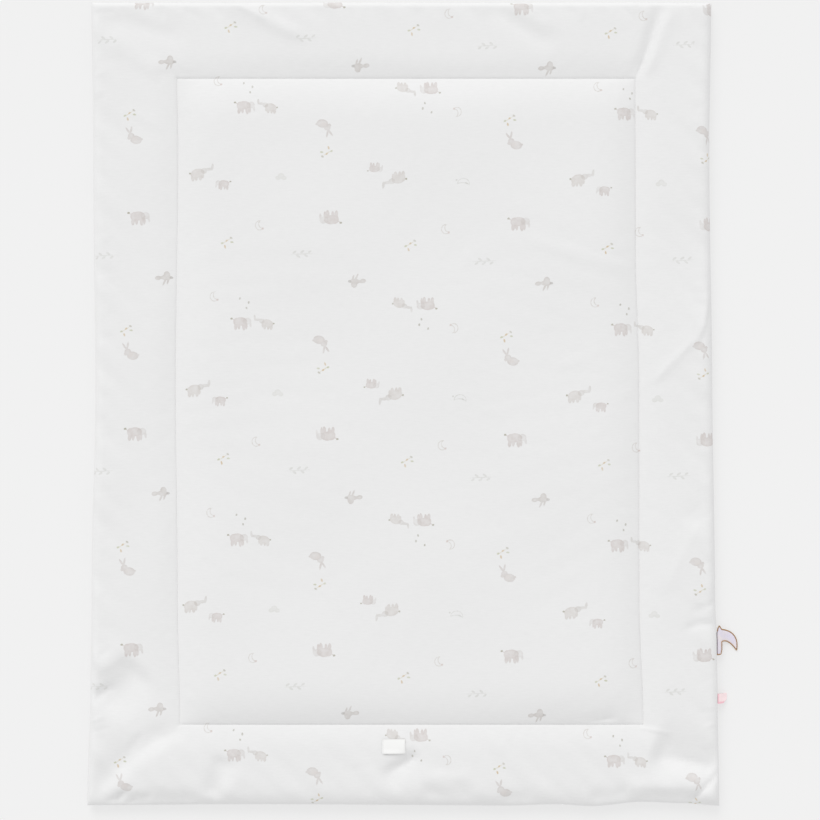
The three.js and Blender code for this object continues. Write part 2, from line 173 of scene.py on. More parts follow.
def lay_cloth(piece: Piece, places: Array) -> None:
    """Gives a piece its map of cloth coordinates.

    Args:
        piece: The piece.
        places: The two cloth coordinates of each of its points.
    """
    corners = np.empty(len(piece.data.loops), int)
    piece.data.loops.foreach_get("vertex_index", corners)
    layer = piece.data.uv_layers.new(name=CLOTH_MAP)
    layer.data.foreach_set("uv", places[corners].ravel())


def quad_grid(number: Array) -> Array:
    """The four corners of each cell in a grid of point numbers, one row for each cell."""
    cells = [number[:-1, :-1], number[:-1, 1:], number[1:, 1:], number[1:, :-1]]
    return np.stack(cells, -1).reshape(-1, 4)


@dataclass(frozen=True)
class Fold:
    """One crease of the cloth, from its first end to its last.

    A ridge has a positive rise and a trough a negative one. bow is how far the middle lies
    to the left of the straight line, and left and right are the widths on each side.
    """

    x1: float
    y1: float
    x2: float
    y2: float
    bow: float
    left: float
    right: float
    rise: float

    END_FADE = 0.3
    END_REACH = 0.12
    SIGHT = 3.2

    def add_to(self, height: Array, x: Array, y: Array, strength: Array) -> None:
        """Adds the fold to the heights of the points near it.

        Args:
            height: The heights, changed in place.
            x: The points' x.
            y: The points' y.
            strength: How much of the fold each point takes.
        """
        dx, dy = self.x2 - self.x1, self.y2 - self.y1
        length = math.hypot(dx, dy)
        reach = self.SIGHT * max(self.left, self.right) + abs(self.bow)
        spare = reach + self.END_REACH * length
        near = (x > min(self.x1, self.x2) - spare) & (x < max(self.x1, self.x2) + spare)
        near &= (y > min(self.y1, self.y2) - spare) & (y < max(self.y1, self.y2) + spare)
        if not near.any():
            return
        px, py = x[near] - self.x1, y[near] - self.y1
        u = (px * dx + py * dy) / length**2
        off = (py * dx - px * dy) / length - self.bow * 4.0 * u * (1.0 - u)
        width = np.where(off > 0, self.left, self.right)
        first_end = ease((u + self.END_REACH) / self.END_FADE)
        last_end = ease((1.0 + self.END_REACH - u) / self.END_FADE)
        full = self.rise * first_end * last_end * np.exp(-((off / width) ** 2))
        height[near] += full * strength[near]


@dataclass(frozen=True)
class Puff:
    """A place where the wadding lies thicker, or thinner where its rise is negative."""

    x: float
    y: float
    radius: float
    rise: float


# The main folds, the same as the solid's: both ends, bow, left and right width, and rise
MAIN_FOLDS = tuple(Fold(*row) for row in (
    (-203, 471, -124, 435, 0, 8, 9, 2.2),
    (-352, 456, -262, 432, 0, 12, 12, -1.8),
    (-346, 434, -286, 390, 0, 12, 10, 1.8),
    (302, 474, 275, 386, 2, 10, 8, -4),
    (315, 466, 287, 392, 0, 9, 7, 2.2),
    (100, 468, 172, 424, 0, 11, 11, -2),
    (118, 474, 178, 441, 0, 9, 9, 1.6),
    (361, 170, 297, 30, 18, 9, 12, 1),
    (-366, -308, -328, -286, 0, 10, 15, 1.6),
    (-362, -352, -316, -308, -7, 19, 28, -7.4),
    (-368, -464, -270, -384, 9, 18, 11, -5.2),
    (-228, -462, -214, -418, 0, 10, 15, -4.2),
    (-356, -467, -240, -467, 0, 10, 9, -3.6),
    (-214, -464, -194, -434, 0, 9, 9, 1.2),
    (14, -413, -23, -441, 0, 14, 9, -4.6),
    (17, -443, 78, -441, 0, 9, 9, 1.5),
    (22, -458, 76, -465, 0, 9, 9, -2.5),
    (118, -465, 150, -467, 0, 9, 9, -3),
    (220, -465, 262, -462, 0, 9, 9, -3),
    (282, -466, 332, -466, 0, 10, 9, -3),
    (296, -413, 372, -433, 0, 30, 15, -9.6),
    (316, -436, 372, -442, 0, 9, 8, 1.5),
    (268, -450, 350, -453, 0, 10, 8, 2.2),
    (373, -434, 335, -471, 0, 9, 9, -2),
    (340, -245, 367, -234, 0, 8, 8, -0.9),
    (334, -265, 369, -263, 4, 8, 8, -1),
    (307, -220, 353, -131, 0, 14, 14, 1),
    (212, -381, 251, -369, 0, 9, 9, -2),
))

# x, y, radius and rise
PUFFS = tuple(Puff(*row) for row in (
    (-286, -414, 32, 2.5),
    (346, -132, 16, -2),
    (-322, 330, 40, -1.2),
    (-352, -90, 34, 1.5),
    (320, 250, 45, 1),
    (320, -330, 34, 1.2),
    (-110, -420, 60, 1),
    (200, -418, 45, 1),
    (0, 425, 90, 1),
))

# The sharper creases that lie on the main folds, too fine for the solid
FINE_FOLDS = tuple(Fold(*row) for row in (
    (-203, 472, -164, 452, 1, 8, 2.2, 1.8),
    (-172, 456, -112, 428, 0, 10, 5, 0.9),
    (-262, 471, -228, 459, 0, 6, 4, 0.7),
    (-326, 348, -288, 326, 0, 5, 4, 0.8),
    (300, 462, 275, 388, 2, 3, 2, -1.6),
    (306, 460, 285, 384, 1, 4, 3, 1.0),
    (359, 128, 343, 70, 4, 2.5, 5, 1.9),
    (343, 76, 297, 28, 0, 2.4, 3.0, 1.5),
    (-362, -298, -346, -289, 0, 2.5, 3.5, -1.0),
    (-362, -318, -330, -297, 0, 6, 3, 1.0),
    (-364, -350, -344, -334, 2, 5, 3, -2.2),
    (-325, -411, -311, -389, 0, 3, 2.5, -1.3),
    (-352, -470, -320, -447, -4, 3, 4, -1.2),
    (-340, -471, -332, -458, 2, 2.5, 3, -2.2),
    (-325, -472, -316, -459, -2, 2.5, 3, -2.2),
    (-309, -472, -303, -460, 1, 2.5, 2.5, -2.0),
    (-288, -471, -294, -458, 1, 3, 2.5, 1.0),
    (-221, -466, -219, -438, -2, 3, 4, -1.3),
    (14, -413, -14, -431, 2, 4, 4, -2.6),
    (-62, -432, -38, -425, 0, 1.5, 2.5, -0.7),
    (38, -434, 70, -442, 0, 2.5, 6, 0.8),
    (372, -435, 338, -469, 1, 2.2, 3, -2.6),
    (312, -418, 367, -431, 1, 5, 2.5, -1.4),
    (279, -383, 316, -390, 1, 3, 2, 0.8),
    (344, -243, 366, -234, -1, 1.8, 2.4, -1.7),
    (332, -265, 369, -261, 4, 2, 2.6, -1.9),
    (214, -380, 249, -370, 1, 2.2, 4, -1.2),
    (308, -218, 352, -133, 0, 3, 3, 0.5),
    (150, 194, 272, 161, -3, 5, 9, 0.7),
    (176, 40, 232, 62, 2, 4, 7, 0.4),
))


@dataclass(frozen=True)
class QuiltShape:
    """The sizes of the filled quilt and the height of its upper face.

    A side table gives the x of a line at each y, or the y at each x, from row to row. border
    and panel are rounded sizes, which the nets take their spacing from.
    """

    top_y: float = 475.0
    bottom_y: float = -475.0
    border: float = 100.0
    panel: Row = (545.0, 763.0)
    edge_height: float = 9.0
    edge_lift: float = 1.2
    edge_roll: float = 14.0
    top_roll: float = 8.0
    bottom_roll: float = 30.0
    border_crest: float = 21.5
    panel_crest: float = 27.5
    seam_top_y: float = 384.5
    seam_bottom_y: float = -378.5
    seam_height: float = 17.0
    slope_out: float = 32.0
    slope_in: float = 58.0
    border_fullness: float = 2.0
    panel_fullness: float = 2.6
    gather_waves: Row = (61.0, 37.0)
    gather_rise: float = 0.5
    gather_reach: float = 30.0
    gather_shift: float = 0.16
    wave_across: float = 310.0
    wave_along: float = 260.0
    wave_rise: float = 1.2
    wave_shift: float = 0.11
    left_side: tuple[Row, ...] = (
        (-475, -375), (-340, -371.5), (-230, -370), (20, -365.5), (300, -368), (475, -370)
    )
    right_side: tuple[Row, ...] = (
        (-475, 373.5), (-340, 371.2), (-285, 370.4), (-230, 368.6),
        (30, 365), (300, 361.5), (475, 364),
    )
    bottom_side: tuple[Row, ...] = (
        (-375, 0), (-120, 1), (120, -0.8), (180, 1), (222, -1), (283, 4), (330, 2), (375, -1)
    )
    seam_left: tuple[Row, ...] = ((-379, -264.8), (-230, -267.7), (28, -270), (300, -267), (385, -268.3))
    seam_right: tuple[Row, ...] = ((-379, 282.5), (-230, 277.8), (28, 277.5), (180, 273.5), (385, 273))

    def edge_z(self, x: Array, y: Array) -> Array:
        """Height of the seam that joins front and back at the outer edge."""
        return self.edge_height + self.edge_lift * swing((x - y) / self.wave_across)

    def end_low(self, x: Array) -> Array:
        """The y of the lower outer edge."""
        return self.bottom_y + along(self.bottom_side, x)

    def from_edge(self, x: Array, y: Array) -> tuple[Array, Array]:
        """Measures how far points lie inside the outer edge.

        Args:
            x: The points' x.
            y: The points' y.

        Returns:
            The distances to the nearest side and end, the ends' scaled to their own rolls.
        """
        side = np.minimum(x - along(self.left_side, y), along(self.right_side, y) - x)
        below = (y - self.end_low(x)) * (self.edge_roll / self.bottom_roll)
        above = (self.top_y - y) * (self.edge_roll / self.top_roll)
        return side, np.minimum(below, above)

    def past_seam(self, x: Array, y: Array) -> tuple[Array, Array]:
        """Measures how far points lie past the sewn rectangle.

        Args:
            x: The points' x.
            y: The points' y.

        Returns:
            The distances past its sides and past its ends, negative inside.
        """
        sides = np.maximum(along(self.seam_left, y) - x, x - along(self.seam_right, y))
        ends = np.maximum(self.seam_bottom_y - y, y - self.seam_top_y)
        return sides, ends

    def in_panel(self, x: Array, y: Array) -> Array:
        """True for each point inside the sewn rectangle."""
        sides, ends = self.past_seam(x, y)
        return (sides < 0) & (ends < 0)

    def from_seam(self, x: Array, y: Array) -> Array:
        """Measures how far points lie from the sewn rectangle, on either side of it.

        Args:
            x: The points' x.
            y: The points' y.

        Returns:
            The distance of each point.
        """
        sides, ends = self.past_seam(x, y)
        outward = np.hypot(np.maximum(sides, 0.0), np.maximum(ends, 0.0))
        return np.where((sides < 0) & (ends < 0), np.minimum(-sides, -ends), outward)

    def roll(self, distance: Array) -> Array:
        """How full the roll of the edge is at a distance from it."""
        t = 1.0 - np.clip(distance / self.edge_roll, 0.0, 1.0)
        return np.sqrt(1.0 - t * t)

    @staticmethod
    def rise(distance: Array, slope: float, fullness: float) -> Array:
        """How full the wadding is at a distance from the sewn line."""
        t = 1.0 - np.clip(distance / slope, 0.0, 1.0)
        return 1.0 - t**fullness

    def fullness_at(self, x: Array, y: Array) -> Array:
        """Works out how full the quilt is.

        Args:
            x: The points' x.
            y: The points' y.

        Returns:
            From 0 on a seam to 1 away from them, for each point.
        """
        side, end = self.from_edge(x, y)
        past_sides, past_ends = self.past_seam(x, y)
        panel = self.rise(-past_sides, self.slope_in, self.panel_fullness)
        panel = panel * self.rise(-past_ends, self.slope_in, self.panel_fullness)
        border = self.rise(self.from_seam(x, y), self.slope_out, self.border_fullness)
        return self.roll(side) * self.roll(end) * np.where(self.in_panel(x, y), panel, border)

    def top(self, x: Array, y: Array) -> Array:
        """Works out the upper face with its main folds.

        Args:
            x: The points' x.
            y: The points' y.

        Returns:
            The height of each point above the surface that the quilt lies on.
        """
        nearest = np.minimum(*self.from_edge(x, y))
        inside = self.in_panel(x, y)
        wave = swing(x / self.wave_across + self.wave_shift) * swing(y / self.wave_along)
        crest = np.where(inside, self.panel_crest, self.border_crest) + self.wave_rise * wave
        everywhere = np.ones_like(crest)
        for fold in MAIN_FOLDS:
            fold.add_to(crest, x, y, everywhere)
        for puff in PUFFS:
            distance = (x - puff.x) ** 2 + (y - puff.y) ** 2
            crest += puff.rise * np.exp(-distance / puff.radius**2)
        long_wave, short_wave = self.gather_waves
        gather = swing((x + y) / long_wave) + swing((x + y) / short_wave + self.gather_shift)
        reach = np.exp(-((nearest / self.gather_reach) ** 2))
        crest += np.where(inside, 0.0, self.gather_rise * gather * reach)
        edge = self.edge_z(x, y)
        low = edge + (self.seam_height - edge) * ease(nearest / self.edge_roll)
        return low + (crest - low) * self.fullness_at(x, y)

    def plan(self, s: Array, t: Array) -> tuple[Array, Array]:
        """Turns net coordinates into places.

        Both coordinates go from 0 to 3: the first unit crosses the border, the second the
        panel and the third the other border, so 1 and 2 lie on the sewn lines.

        Args:
            s: Net coordinates across.
            t: Net coordinates upwards.

        Returns:
            The x and the y of each point.
        """
        y = self._up(t, np.zeros_like(s))
        x = self._across(s, y)
        y = self._up(t, x)
        return self._across(s, y), y

    def _across(self, s: Array, y: Array) -> Array:
        """The x at net coordinate s on the height y."""
        tables = (self.left_side, self.seam_left, self.seam_right, self.right_side)
        return self._between([along(rows, y) for rows in tables], s)

    def _up(self, t: Array, x: Array) -> Array:
        """The y at net coordinate t above the place x."""
        level = [np.full_like(x, y) for y in (self.seam_bottom_y, self.seam_top_y, self.top_y)]
        return self._between([self.end_low(x), *level], t)

    @staticmethod
    def _between(lines: list[Array], at: Array) -> Array:
        """Goes in straight stretches through four lines.

        Args:
            lines: The values on the lines.
            at: Where to read them, from 0 on the first line to 3 on the last.

        Returns:
            The value at each place.
        """
        stack = np.stack([np.broadcast_to(line, at.shape) for line in lines])
        i = np.clip(at.astype(int), 0, 2)
        low = np.take_along_axis(stack, i[None], 0)[0]
        high = np.take_along_axis(stack, i[None] + 1, 0)[0]
        return low + (high - low) * (at - i)


def graded(length: float, fine: float, growth: float, coarse: float) -> Array:
    """Shares from 0 to 1 along a length, closer together at both ends.

    Args:
        length: The whole length.
        fine: The first step.
        growth: How much a step grows for each unit of distance from the end.
        coarse: The longest step.

    Returns:
        The shares, the same from either end.
    """
    marks = [0.0]
    while marks[-1] < length / 2:
        marks.append(marks[-1] + min(coarse, fine + growth * marks[-1]))
    half = np.array(marks) / marks[-1] / 2
    return np.concatenate([half, 1.0 - half[-2::-1]])


def net_line(border: Array, panel: Array) -> Array:
    """Joins shares of a border, the panel and the other border into coordinates from 0 to 3."""
    return np.concatenate([border, 1 + panel[1:], 2 + border[1:]])


@dataclass(frozen=True)
class ClothSettling:
    """Cotton cloth blown softly over the filled shape and held at its seams.

    Its points are spacing millimetres apart in the panel. hold is how firmly they are held
    away from the seams, and cap is the farthest that one moves, in millimetres.
    """

    spacing: float = 7.0
    border_steps: int = 13
    frames: int = 20
    quality: int = 5
    weight: float = 0.15
    stretch: float = 12.0
    shear: float = 4.0
    bending: float = 0.04
    pressure: float = 2.0
    spare_cloth: float = 0.006
    hold: float = 0.08
    cap: float = 0.12
    smooth_steps: int = 5

    def settle(self, shape: QuiltShape) -> tuple[Array, Array, Array]:
        """Runs the simulation on the upper face.

        Args:
            shape: The filled shape that the cloth lies on.

        Returns:
            The net coordinates across, those upwards, and how far each point moved.
        """
        border = np.linspace(0, 1, self.border_steps + 1)
        s, t = (
            net_line(border, np.linspace(0, 1, round(length / self.spacing) + 1))
            for length in shape.panel
        )
        grid_s, grid_t = np.meshgrid(s, t)
        x, y = shape.plan(grid_s, grid_t)
        start = np.stack([x, y, shape.top(x, y)], -1)
        cloth = self._cloth(start, grid_s, grid_t)
        scene = bpy.context.scene
        for number in range(1, self.frames + 1):
            scene.frame_set(number)
        evaluated = cloth.evaluated_get(bpy.context.evaluated_depsgraph_get())
        settled = np.empty(len(evaluated.data.vertices) * 3)
        evaluated.data.vertices.foreach_get("co", settled)
        moved = settled.reshape(start.shape) / MM - start
        cloth.modifiers.clear()
        bpy.data.objects.remove(cloth)
        scene.frame_set(1)
        return s, t, self._capped(moved)

    def _cloth(self, start: Array, s: Array, t: Array) -> Piece:
        """Makes the sheet of cloth with its modifier.

        Args:
            start: Rows of columns of points.
            s: The points' net coordinates across.
            t: The points' net coordinates upwards.

        Returns:
            The sheet, held firmly at the seams and lightly elsewhere.
        """
        number = np.arange(s.size).reshape(s.shape)
        cloth = mesh_object("settling_cloth", start.reshape(-1, 3), quad_grid(number).tolist())
        near = 1e-6
        on_rim = (s < near) | (s > 3 - near) | (t < near) | (t > 3 - near)
        within_s = (s > 1 - near) & (s < 2 + near)
        within_t = (t > 1 - near) & (t < 2 + near)
        on_seam = (np.isclose(s % 1, 0) | np.isclose(t % 1, 0)) & within_s & within_t
        weights = np.where(on_rim | on_seam, 1.0, self.hold).ravel()
        group = cloth.vertex_groups.new(name="held")
        for weight in np.unique(weights):
            group.add(np.flatnonzero(weights == weight).tolist(), float(weight), "REPLACE")
        settings = cloth.modifiers.new("Cloth", "CLOTH").settings
        settings.quality = self.quality
        settings.mass = self.weight
        settings.tension_stiffness = self.stretch
        settings.compression_stiffness = self.stretch
        settings.shear_stiffness = self.shear
        settings.bending_stiffness = self.bending
        settings.use_pressure = True
        settings.uniform_pressure_force = self.pressure
        settings.effector_weights.gravity = 0.0
        settings.shrink_min = -self.spare_cloth
        settings.vertex_group_mass = group.name
        settings.pin_stiffness = 1.0
        return cloth

    def _capped(self, moved: Array) -> Array:
        """Keeps the wrinkles, takes out the swelling of the whole and caps what is left.

        Args:
            moved: How far each point of the sheet moved.

        Returns:
            How far it moves in the finished piece.
        """
        swelling = moved.copy()
        for _ in range(self.smooth_steps):
            padded = np.pad(swelling, ((1, 1), (1, 1), (0, 0)), mode="edge")
            beside = padded[:-2, 1:-1] + padded[2:, 1:-1] + padded[1:-1, :-2] + padded[1:-1, 2:]
            swelling = beside / 4
        wrinkles = moved - swelling
        length = np.linalg.norm(wrinkles, axis=-1, keepdims=True)
        return wrinkles * np.minimum(1.0, self.cap / np.maximum(length, 1e-9))


def resample(values: Array, old: Array, new: Array) -> Array:
    """Reads a table of rows at new places between the old ones, on smooth curves.

    Args:
        values: One row of values for each old place.
        old: The old places, rising.
        new: The new places.

    Returns:
        One row of values for each new place.
    """
    i = np.clip(np.searchsorted(old, new, side="right") - 1, 0, len(old) - 2)
    u = ((new - old[i]) / (old[i + 1] - old[i]))[:, None]
    flat = values.reshape(len(old), -1)
    before, after = flat[np.maximum(i - 1, 0)], flat[np.minimum(i + 2, len(old) - 1)]
    low, high = flat[i], flat[i + 1]
    cubic = 3 * (low - high) + after - before
    square = 2 * before - 5 * low + 4 * high - after
    curve = low + 0.5 * u * (high - before + u * (square + u * cubic))
    return curve.reshape(len(new), *values.shape[1:])


class Side(Enum):
    """The four sides of a ring, anticlockwise from the lower left corner."""

    BOTTOM = 0
    RIGHT = 1
    TOP = 2
    LEFT = 3


Ring = list[Array]


@dataclass
class Shell:
    """A growing list of points and faces for one closed piece.

    A ring is its four sides as point numbers, anticlockwise, with shared corners.
    """

    points: list[Array] = field(default_factory=list)
    faces: list[list[int]] = field(default_factory=list)
    count: int = 0

    def add_points(self, points: Array) -> Array:
        """Adds points.

        Args:
            points: One row of x, y, z for each point.

        Returns:
            Their numbers.
        """
        self.points.append(np.asarray(points, float).reshape(-1, 3))
        first = self.count
        self.count += len(self.points[-1])
        return np.arange(first, self.count)

    def add_grid(self, points: Array, upwards: bool) -> Ring:
        """Adds a grid of points with its faces.

        Args:
            points: Rows of columns of points.
            upwards: False where the faces look down.

        Returns:
            The grid's rim.
        """
        number = self.add_points(points).reshape(points.shape[:2])
        quads = quad_grid(number)
        self.faces += (quads if upwards else quads[:, ::-1]).tolist()
        return [number[0], number[:, -1], number[-1, ::-1], number[::-1, 0]]

    def add_ring(self, sides: list[Array]) -> Ring:
        """Adds a closed ring of points.

        Args:
            sides: The points of each side but its last corner.

        Returns:
            The ring.
        """
        numbers = [self.add_points(side) for side in sides]
        return [np.append(side, numbers[(i + 1) % 4][0]) for i, side in enumerate(numbers)]

    def join(self, outer: Ring, inner: Ring, upwards: bool) -> None:
        """Joins two rings side by side, whether or not they have as many points.

        Args:
            outer: The outer ring.
            inner: The inner ring.
            upwards: False where the faces look down.
        """
        for far, near in zip(outer, inner):
            i = j = 0
            far_steps, near_steps = len(far) - 1, len(near) - 1
            while i < far_steps or j < near_steps:
                far_first = (i + 0.5) / far_steps <= (j + 0.5) / near_steps
                if far_steps == near_steps:
                    face = [far[i], far[i + 1], near[j + 1], near[j]]
                    i, j = i + 1, j + 1
                elif j == near_steps or (i < far_steps and far_first):
                    face = [far[i], far[i + 1], near[j]]
                    i += 1
                else:
                    face = [far[i], near[j + 1], near[j]]
                    j += 1
                self.faces.append([int(number) for number in (face if upwards else face[::-1])])

    def all_points(self) -> Array:
        """Every point added so far."""
        return np.concatenate(self.points)


@dataclass(frozen=True)
class SmallCreases:
    """The many short wrinkles: streaks in the panel, and puckers at the seams and the edge.

    A pair of sizes is the least and the most. right_of is the x past which the panel's
    streaks are deeper, as the light shows them there, and streak_skew is how much wider
    their right flank is than their left.
    """

    shape: QuiltShape
    seed: int = 11
    streaks: int = 150
    streak_x: Row = (-250, 265)
    streak_y: Row = (-360, 370)
    streak_length: Row = (9, 24)
    streak_turn: float = 0.28
    streak_width: Row = (1.5, 2.8)
    streak_rise: Row = (0.12, 0.34)
    streak_bow: float = 1.2
    streak_skew: float = 1.5
    right_of: float = 60.0
    right_share: float = 1.25
    left_share: float = 0.8
    edge_reach: Row = (350, 450)
    seam_span_x: Row = (-255, 262)
    seam_span_y: Row = (-368, 374)
    edge_gap: Row = (9, 30)
    seam_gap: Row = (12, 38)
    pucker_length: Row = (10, 26)
    pucker_width: Row = (1.8, 3.6)
    pucker_rise: Row = (0.18, 0.6)
    pucker_lean: float = 5.0
    edge_start: float = 3.0
    seam_start: float = 2.0
    seam_share: float = 0.5

    def folds(self) -> list[Fold]:
        """Scatters the wrinkles.

        Returns:
            One fold for each.
        """
        random = np.random.default_rng(self.seed)
        folds = [self._streak(random) for _ in range(self.streaks)]
        for side in Side:
            for outer in (True, False):
                folds += self._puckers(random, side, outer)
        return folds

    def _streak(self, random: np.random.Generator) -> Fold:
        """Draws one streak of the panel.

        Args:
            random: The source of its sizes.

        Returns:
            The streak.
        """
        x, y = random.uniform(*self.streak_x), random.uniform(*self.streak_y)
        length = random.uniform(*self.streak_length)
        turn = random.normal(0.0, self.streak_turn)
        width = random.uniform(*self.streak_width)
        share = self.right_share if x > self.right_of else self.left_share
        rise = random.uniform(*self.streak_rise) * share
        end_x, end_y = x + length * math.cos(turn), y + length * math.sin(turn)
        bow = random.normal(0, self.streak_bow)
        return Fold(x, y, end_x, end_y, bow, width, width * self.streak_skew, rise)

    def _puckers(self, random: np.random.Generator, side: Side, outer: bool) -> list[Fold]:
        """Draws the puckers along one side of the outer edge or of the sewn rectangle.

        Args:
            random: The source of their sizes.
            side: The side.
            outer: False for the sewn rectangle, which has puckers on both sides of its line.

        Returns:
            The puckers.
        """
        along_x = side in (Side.BOTTOM, Side.TOP)
        inward = 1 if side in (Side.BOTTOM, Side.LEFT) else -1
        reach = self.edge_reach[0] if along_x else self.edge_reach[1]
        low, high = self.seam_span_x if along_x else self.seam_span_y
        if outer:
            low, high = -reach, reach
        starts = (self.edge_start,) if outer else (self.seam_start, -self.seam_start)
        share = 1.0 if outer else self.seam_share
        folds = []
        at = low
        while at < high:
            at += random.uniform(*(self.edge_gap if outer else self.seam_gap))
            length = random.uniform(*self.pucker_length)
            width = random.uniform(*self.pucker_width)
            rise = random.uniform(*self.pucker_rise) * random.choice([-1, 1]) * share
            lean = random.normal(0, self.pucker_lean)
            line = self._line_at(side, at, outer)
            for start in starts:
                near = line + inward * start
                far = near + inward * math.copysign(length, start)
                ends = (at, near, at + lean, far) if along_x else (near, at, far, at + lean)
                folds.append(Fold(*ends, 0, width, width, rise))
        return folds

    def _line_at(self, side: Side, at: float, outer: bool) -> float:
        """Finds the outer edge or the sewn line at a place along a side.

        Args:
            side: The side.
            at: The x of a place below or above, or the y of one to the left or right.
            outer: False for the sewn line.

        Returns:
            The line's y at that x, or its x at that y.
        """
        shape = self.shape
        if side is Side.TOP:
            return shape.top_y if outer else shape.seam_top_y
        place = np.array([at])
        if side is Side.BOTTOM:
            return float(shape.end_low(place)[0]) if outer else shape.seam_bottom_y
        if side is Side.RIGHT:
            rows = shape.right_side if outer else shape.seam_right
        else:
            rows = shape.left_side if outer else shape.seam_left
        return float(along(rows, place)[0])


@dataclass
class Quilt:
    """The filled quilt with its printed front and plain back.

    The steps are distances between the points of its nets. under_roll is how far the edge
    turns under, and a groove's places are distances from the sewn line, the first outside.
    The creases and the settling grow with the fullness, this many times as fast.
    """

    shape: QuiltShape
    settling: ClothSettling = field(default_factory=ClothSettling)
    fine_step: float = 0.9
    step_growth: float = 0.12
    coarse_step: float = 4.4
    under_step: float = 9.0
    under_size: Row = (745.0, 950.0)
    under_roll: float = 12.0
    roll_steps: int = 6
    flat_rim: float = 2.0
    groove_depth: float = 2.4
    groove_width: float = 6.0
    groove_places: tuple[float, ...] = (-16.0, -9.0, -5.0, -2.0, 0.0, 2.0, 5.0, 9.0, 16.0)
    back_inset: float = 40.0
    back_cells: tuple[int, int] = (24, 34)
    crease_growth: float = 3.0
    settling_growth: float = 5.0
    needle_depth: float = 0.8
    needle_width: float = 1.3
    map_roll: float = 10.0

    def build(self) -> Piece:
        """Makes the quilt's mesh with its cloth coordinates.

        Returns:
            The quilt, its front faces in slot 0 and its back faces in slot 1.
        """
        s, t, points = self.upper_face()
        shell = Shell()
        rim = shell.add_grid(points, True)
        front_faces = len(shell.faces)
        self._underside(shell, rim, s, t)
        quilt = mesh_object("play_blanket_quilt", shell.all_points(), shell.faces)
        on_back = [int(i >= front_faces) for i in range(len(shell.faces))]
        quilt.data.polygons.foreach_set("material_index", on_back)
        self._cloth_map(quilt, points, s, t)
        shade_smooth(quilt)
        return quilt

    def upper_face(self) -> tuple[Array, Array, Array]:
        """Works out the net of the upper face.

        Returns:
            The net coordinates across, those upwards, and the points.
        """
        border, across, upward = (
            graded(length, self.fine_step, self.step_growth, self.coarse_step)
            for length in (self.shape.border, *self.shape.panel)
        )
        s, t = net_line(border, across), net_line(border, upward)
        x, y = self.shape.plan(*np.meshgrid(s, t))
        z = self.shape.top(x, y)
        full = self.shape.fullness_at(x, y)
        strength = ease(full * self.crease_growth)
        for fold in (*FINE_FOLDS, *SmallCreases(self.shape).folds()):
            fold.add_to(z, x, y, strength)
        off_line = self.shape.from_seam(x, y) / self.needle_width
        z -= self.needle_depth * np.exp(-(off_line**2))
        points = np.stack([x, y, z], -1)
        old_s, old_t, moved = self.settling.settle(self.shape)
        moved = resample(moved, old_t, t)
        moved = resample(moved.transpose(1, 0, 2), old_s, s).transpose(1, 0, 2)
        return s, t, points + moved * ease(full * self.settling_growth)[..., None]

    def _ring_places(self, shares: list[Array], inset: Row) -> list[tuple[Array, Array]]:
        """Finds places on a ring whose net coordinates are drawn in by an inset.

        Args:
            shares: How far along its side each place is, for each of the four sides.
            inset: The net coordinates of the ring's lower left corner.

        Returns:
            The x and the y of the places on each side.
        """
        low = np.array(inset)
        high = 3 - low
        corners = np.array([low, (high[0], low[1]), high, (low[0], high[1])])
        steps = np.roll(corners, -1, 0) - corners
        return [
            self.shape.plan(*(corner[:, None] + share * step[:, None]))
            for corner, step, share in zip(corners, steps, shares)
        ]

    def _underside(self, shell: Shell, rim: Ring, s: Array, t: Array) -> None:
        """Adds the back: the edge rolls under to a flat face with a shallow groove.

        Args:
            shell: The shell that gets it.
            rim: The upper face's rim.
            s: The upper face's net coordinates across.
            t: Those upwards.
        """
        border, panel = self.shape.border, self.shape.panel
        shares = [net[:-1] / 3 for net in (s, t, s, t)]
        turns = [math.pi / 2 * step / self.roll_steps for step in range(1, self.roll_steps + 1)]
        insets = [self.under_roll * (1 - math.cos(turn)) for turn in turns]
        outer = rim
        for turn, inset in zip(turns + turns[-1:], insets + [insets[-1] + self.flat_rim]):
            keep = 1 - math.sin(turn)
            sides = self._ring_places(shares, (inset / border, inset / border))
            ring = shell.add_ring([np.stack([x, y, self.shape.edge_z(x, y) * keep], -1) for x, y in sides])
            shell.join(outer, ring, False)
            outer = ring
        counts = [round(length / self.under_step) for length in self.under_size] * 2
        shares = [np.arange(count) / count for count in counts]
        for place in self.groove_places:
            units = (border, border) if place < 0 else panel
            depth = self.groove_depth * math.exp(-((place / self.groove_width) ** 2))
            if place in (self.groove_places[0], self.groove_places[-1]):
                depth = 0.0
            sides = self._ring_places(shares, (1 + place / units[0], 1 + place / units[1]))
            ring = shell.add_ring([np.stack([x, y, np.full_like(x, depth)], -1) for x, y in sides])
            shell.join(outer, ring, False)
            outer = ring
        middle = np.meshgrid(*(
            np.linspace(1 + self.back_inset / length, 2 - self.back_inset / length, cells + 1)
            for length, cells in zip(panel, self.back_cells)
        ))
        x, y = self.shape.plan(*middle)
        shell.join(outer, shell.add_grid(np.stack([x, y, np.zeros_like(x)], -1), False), False)

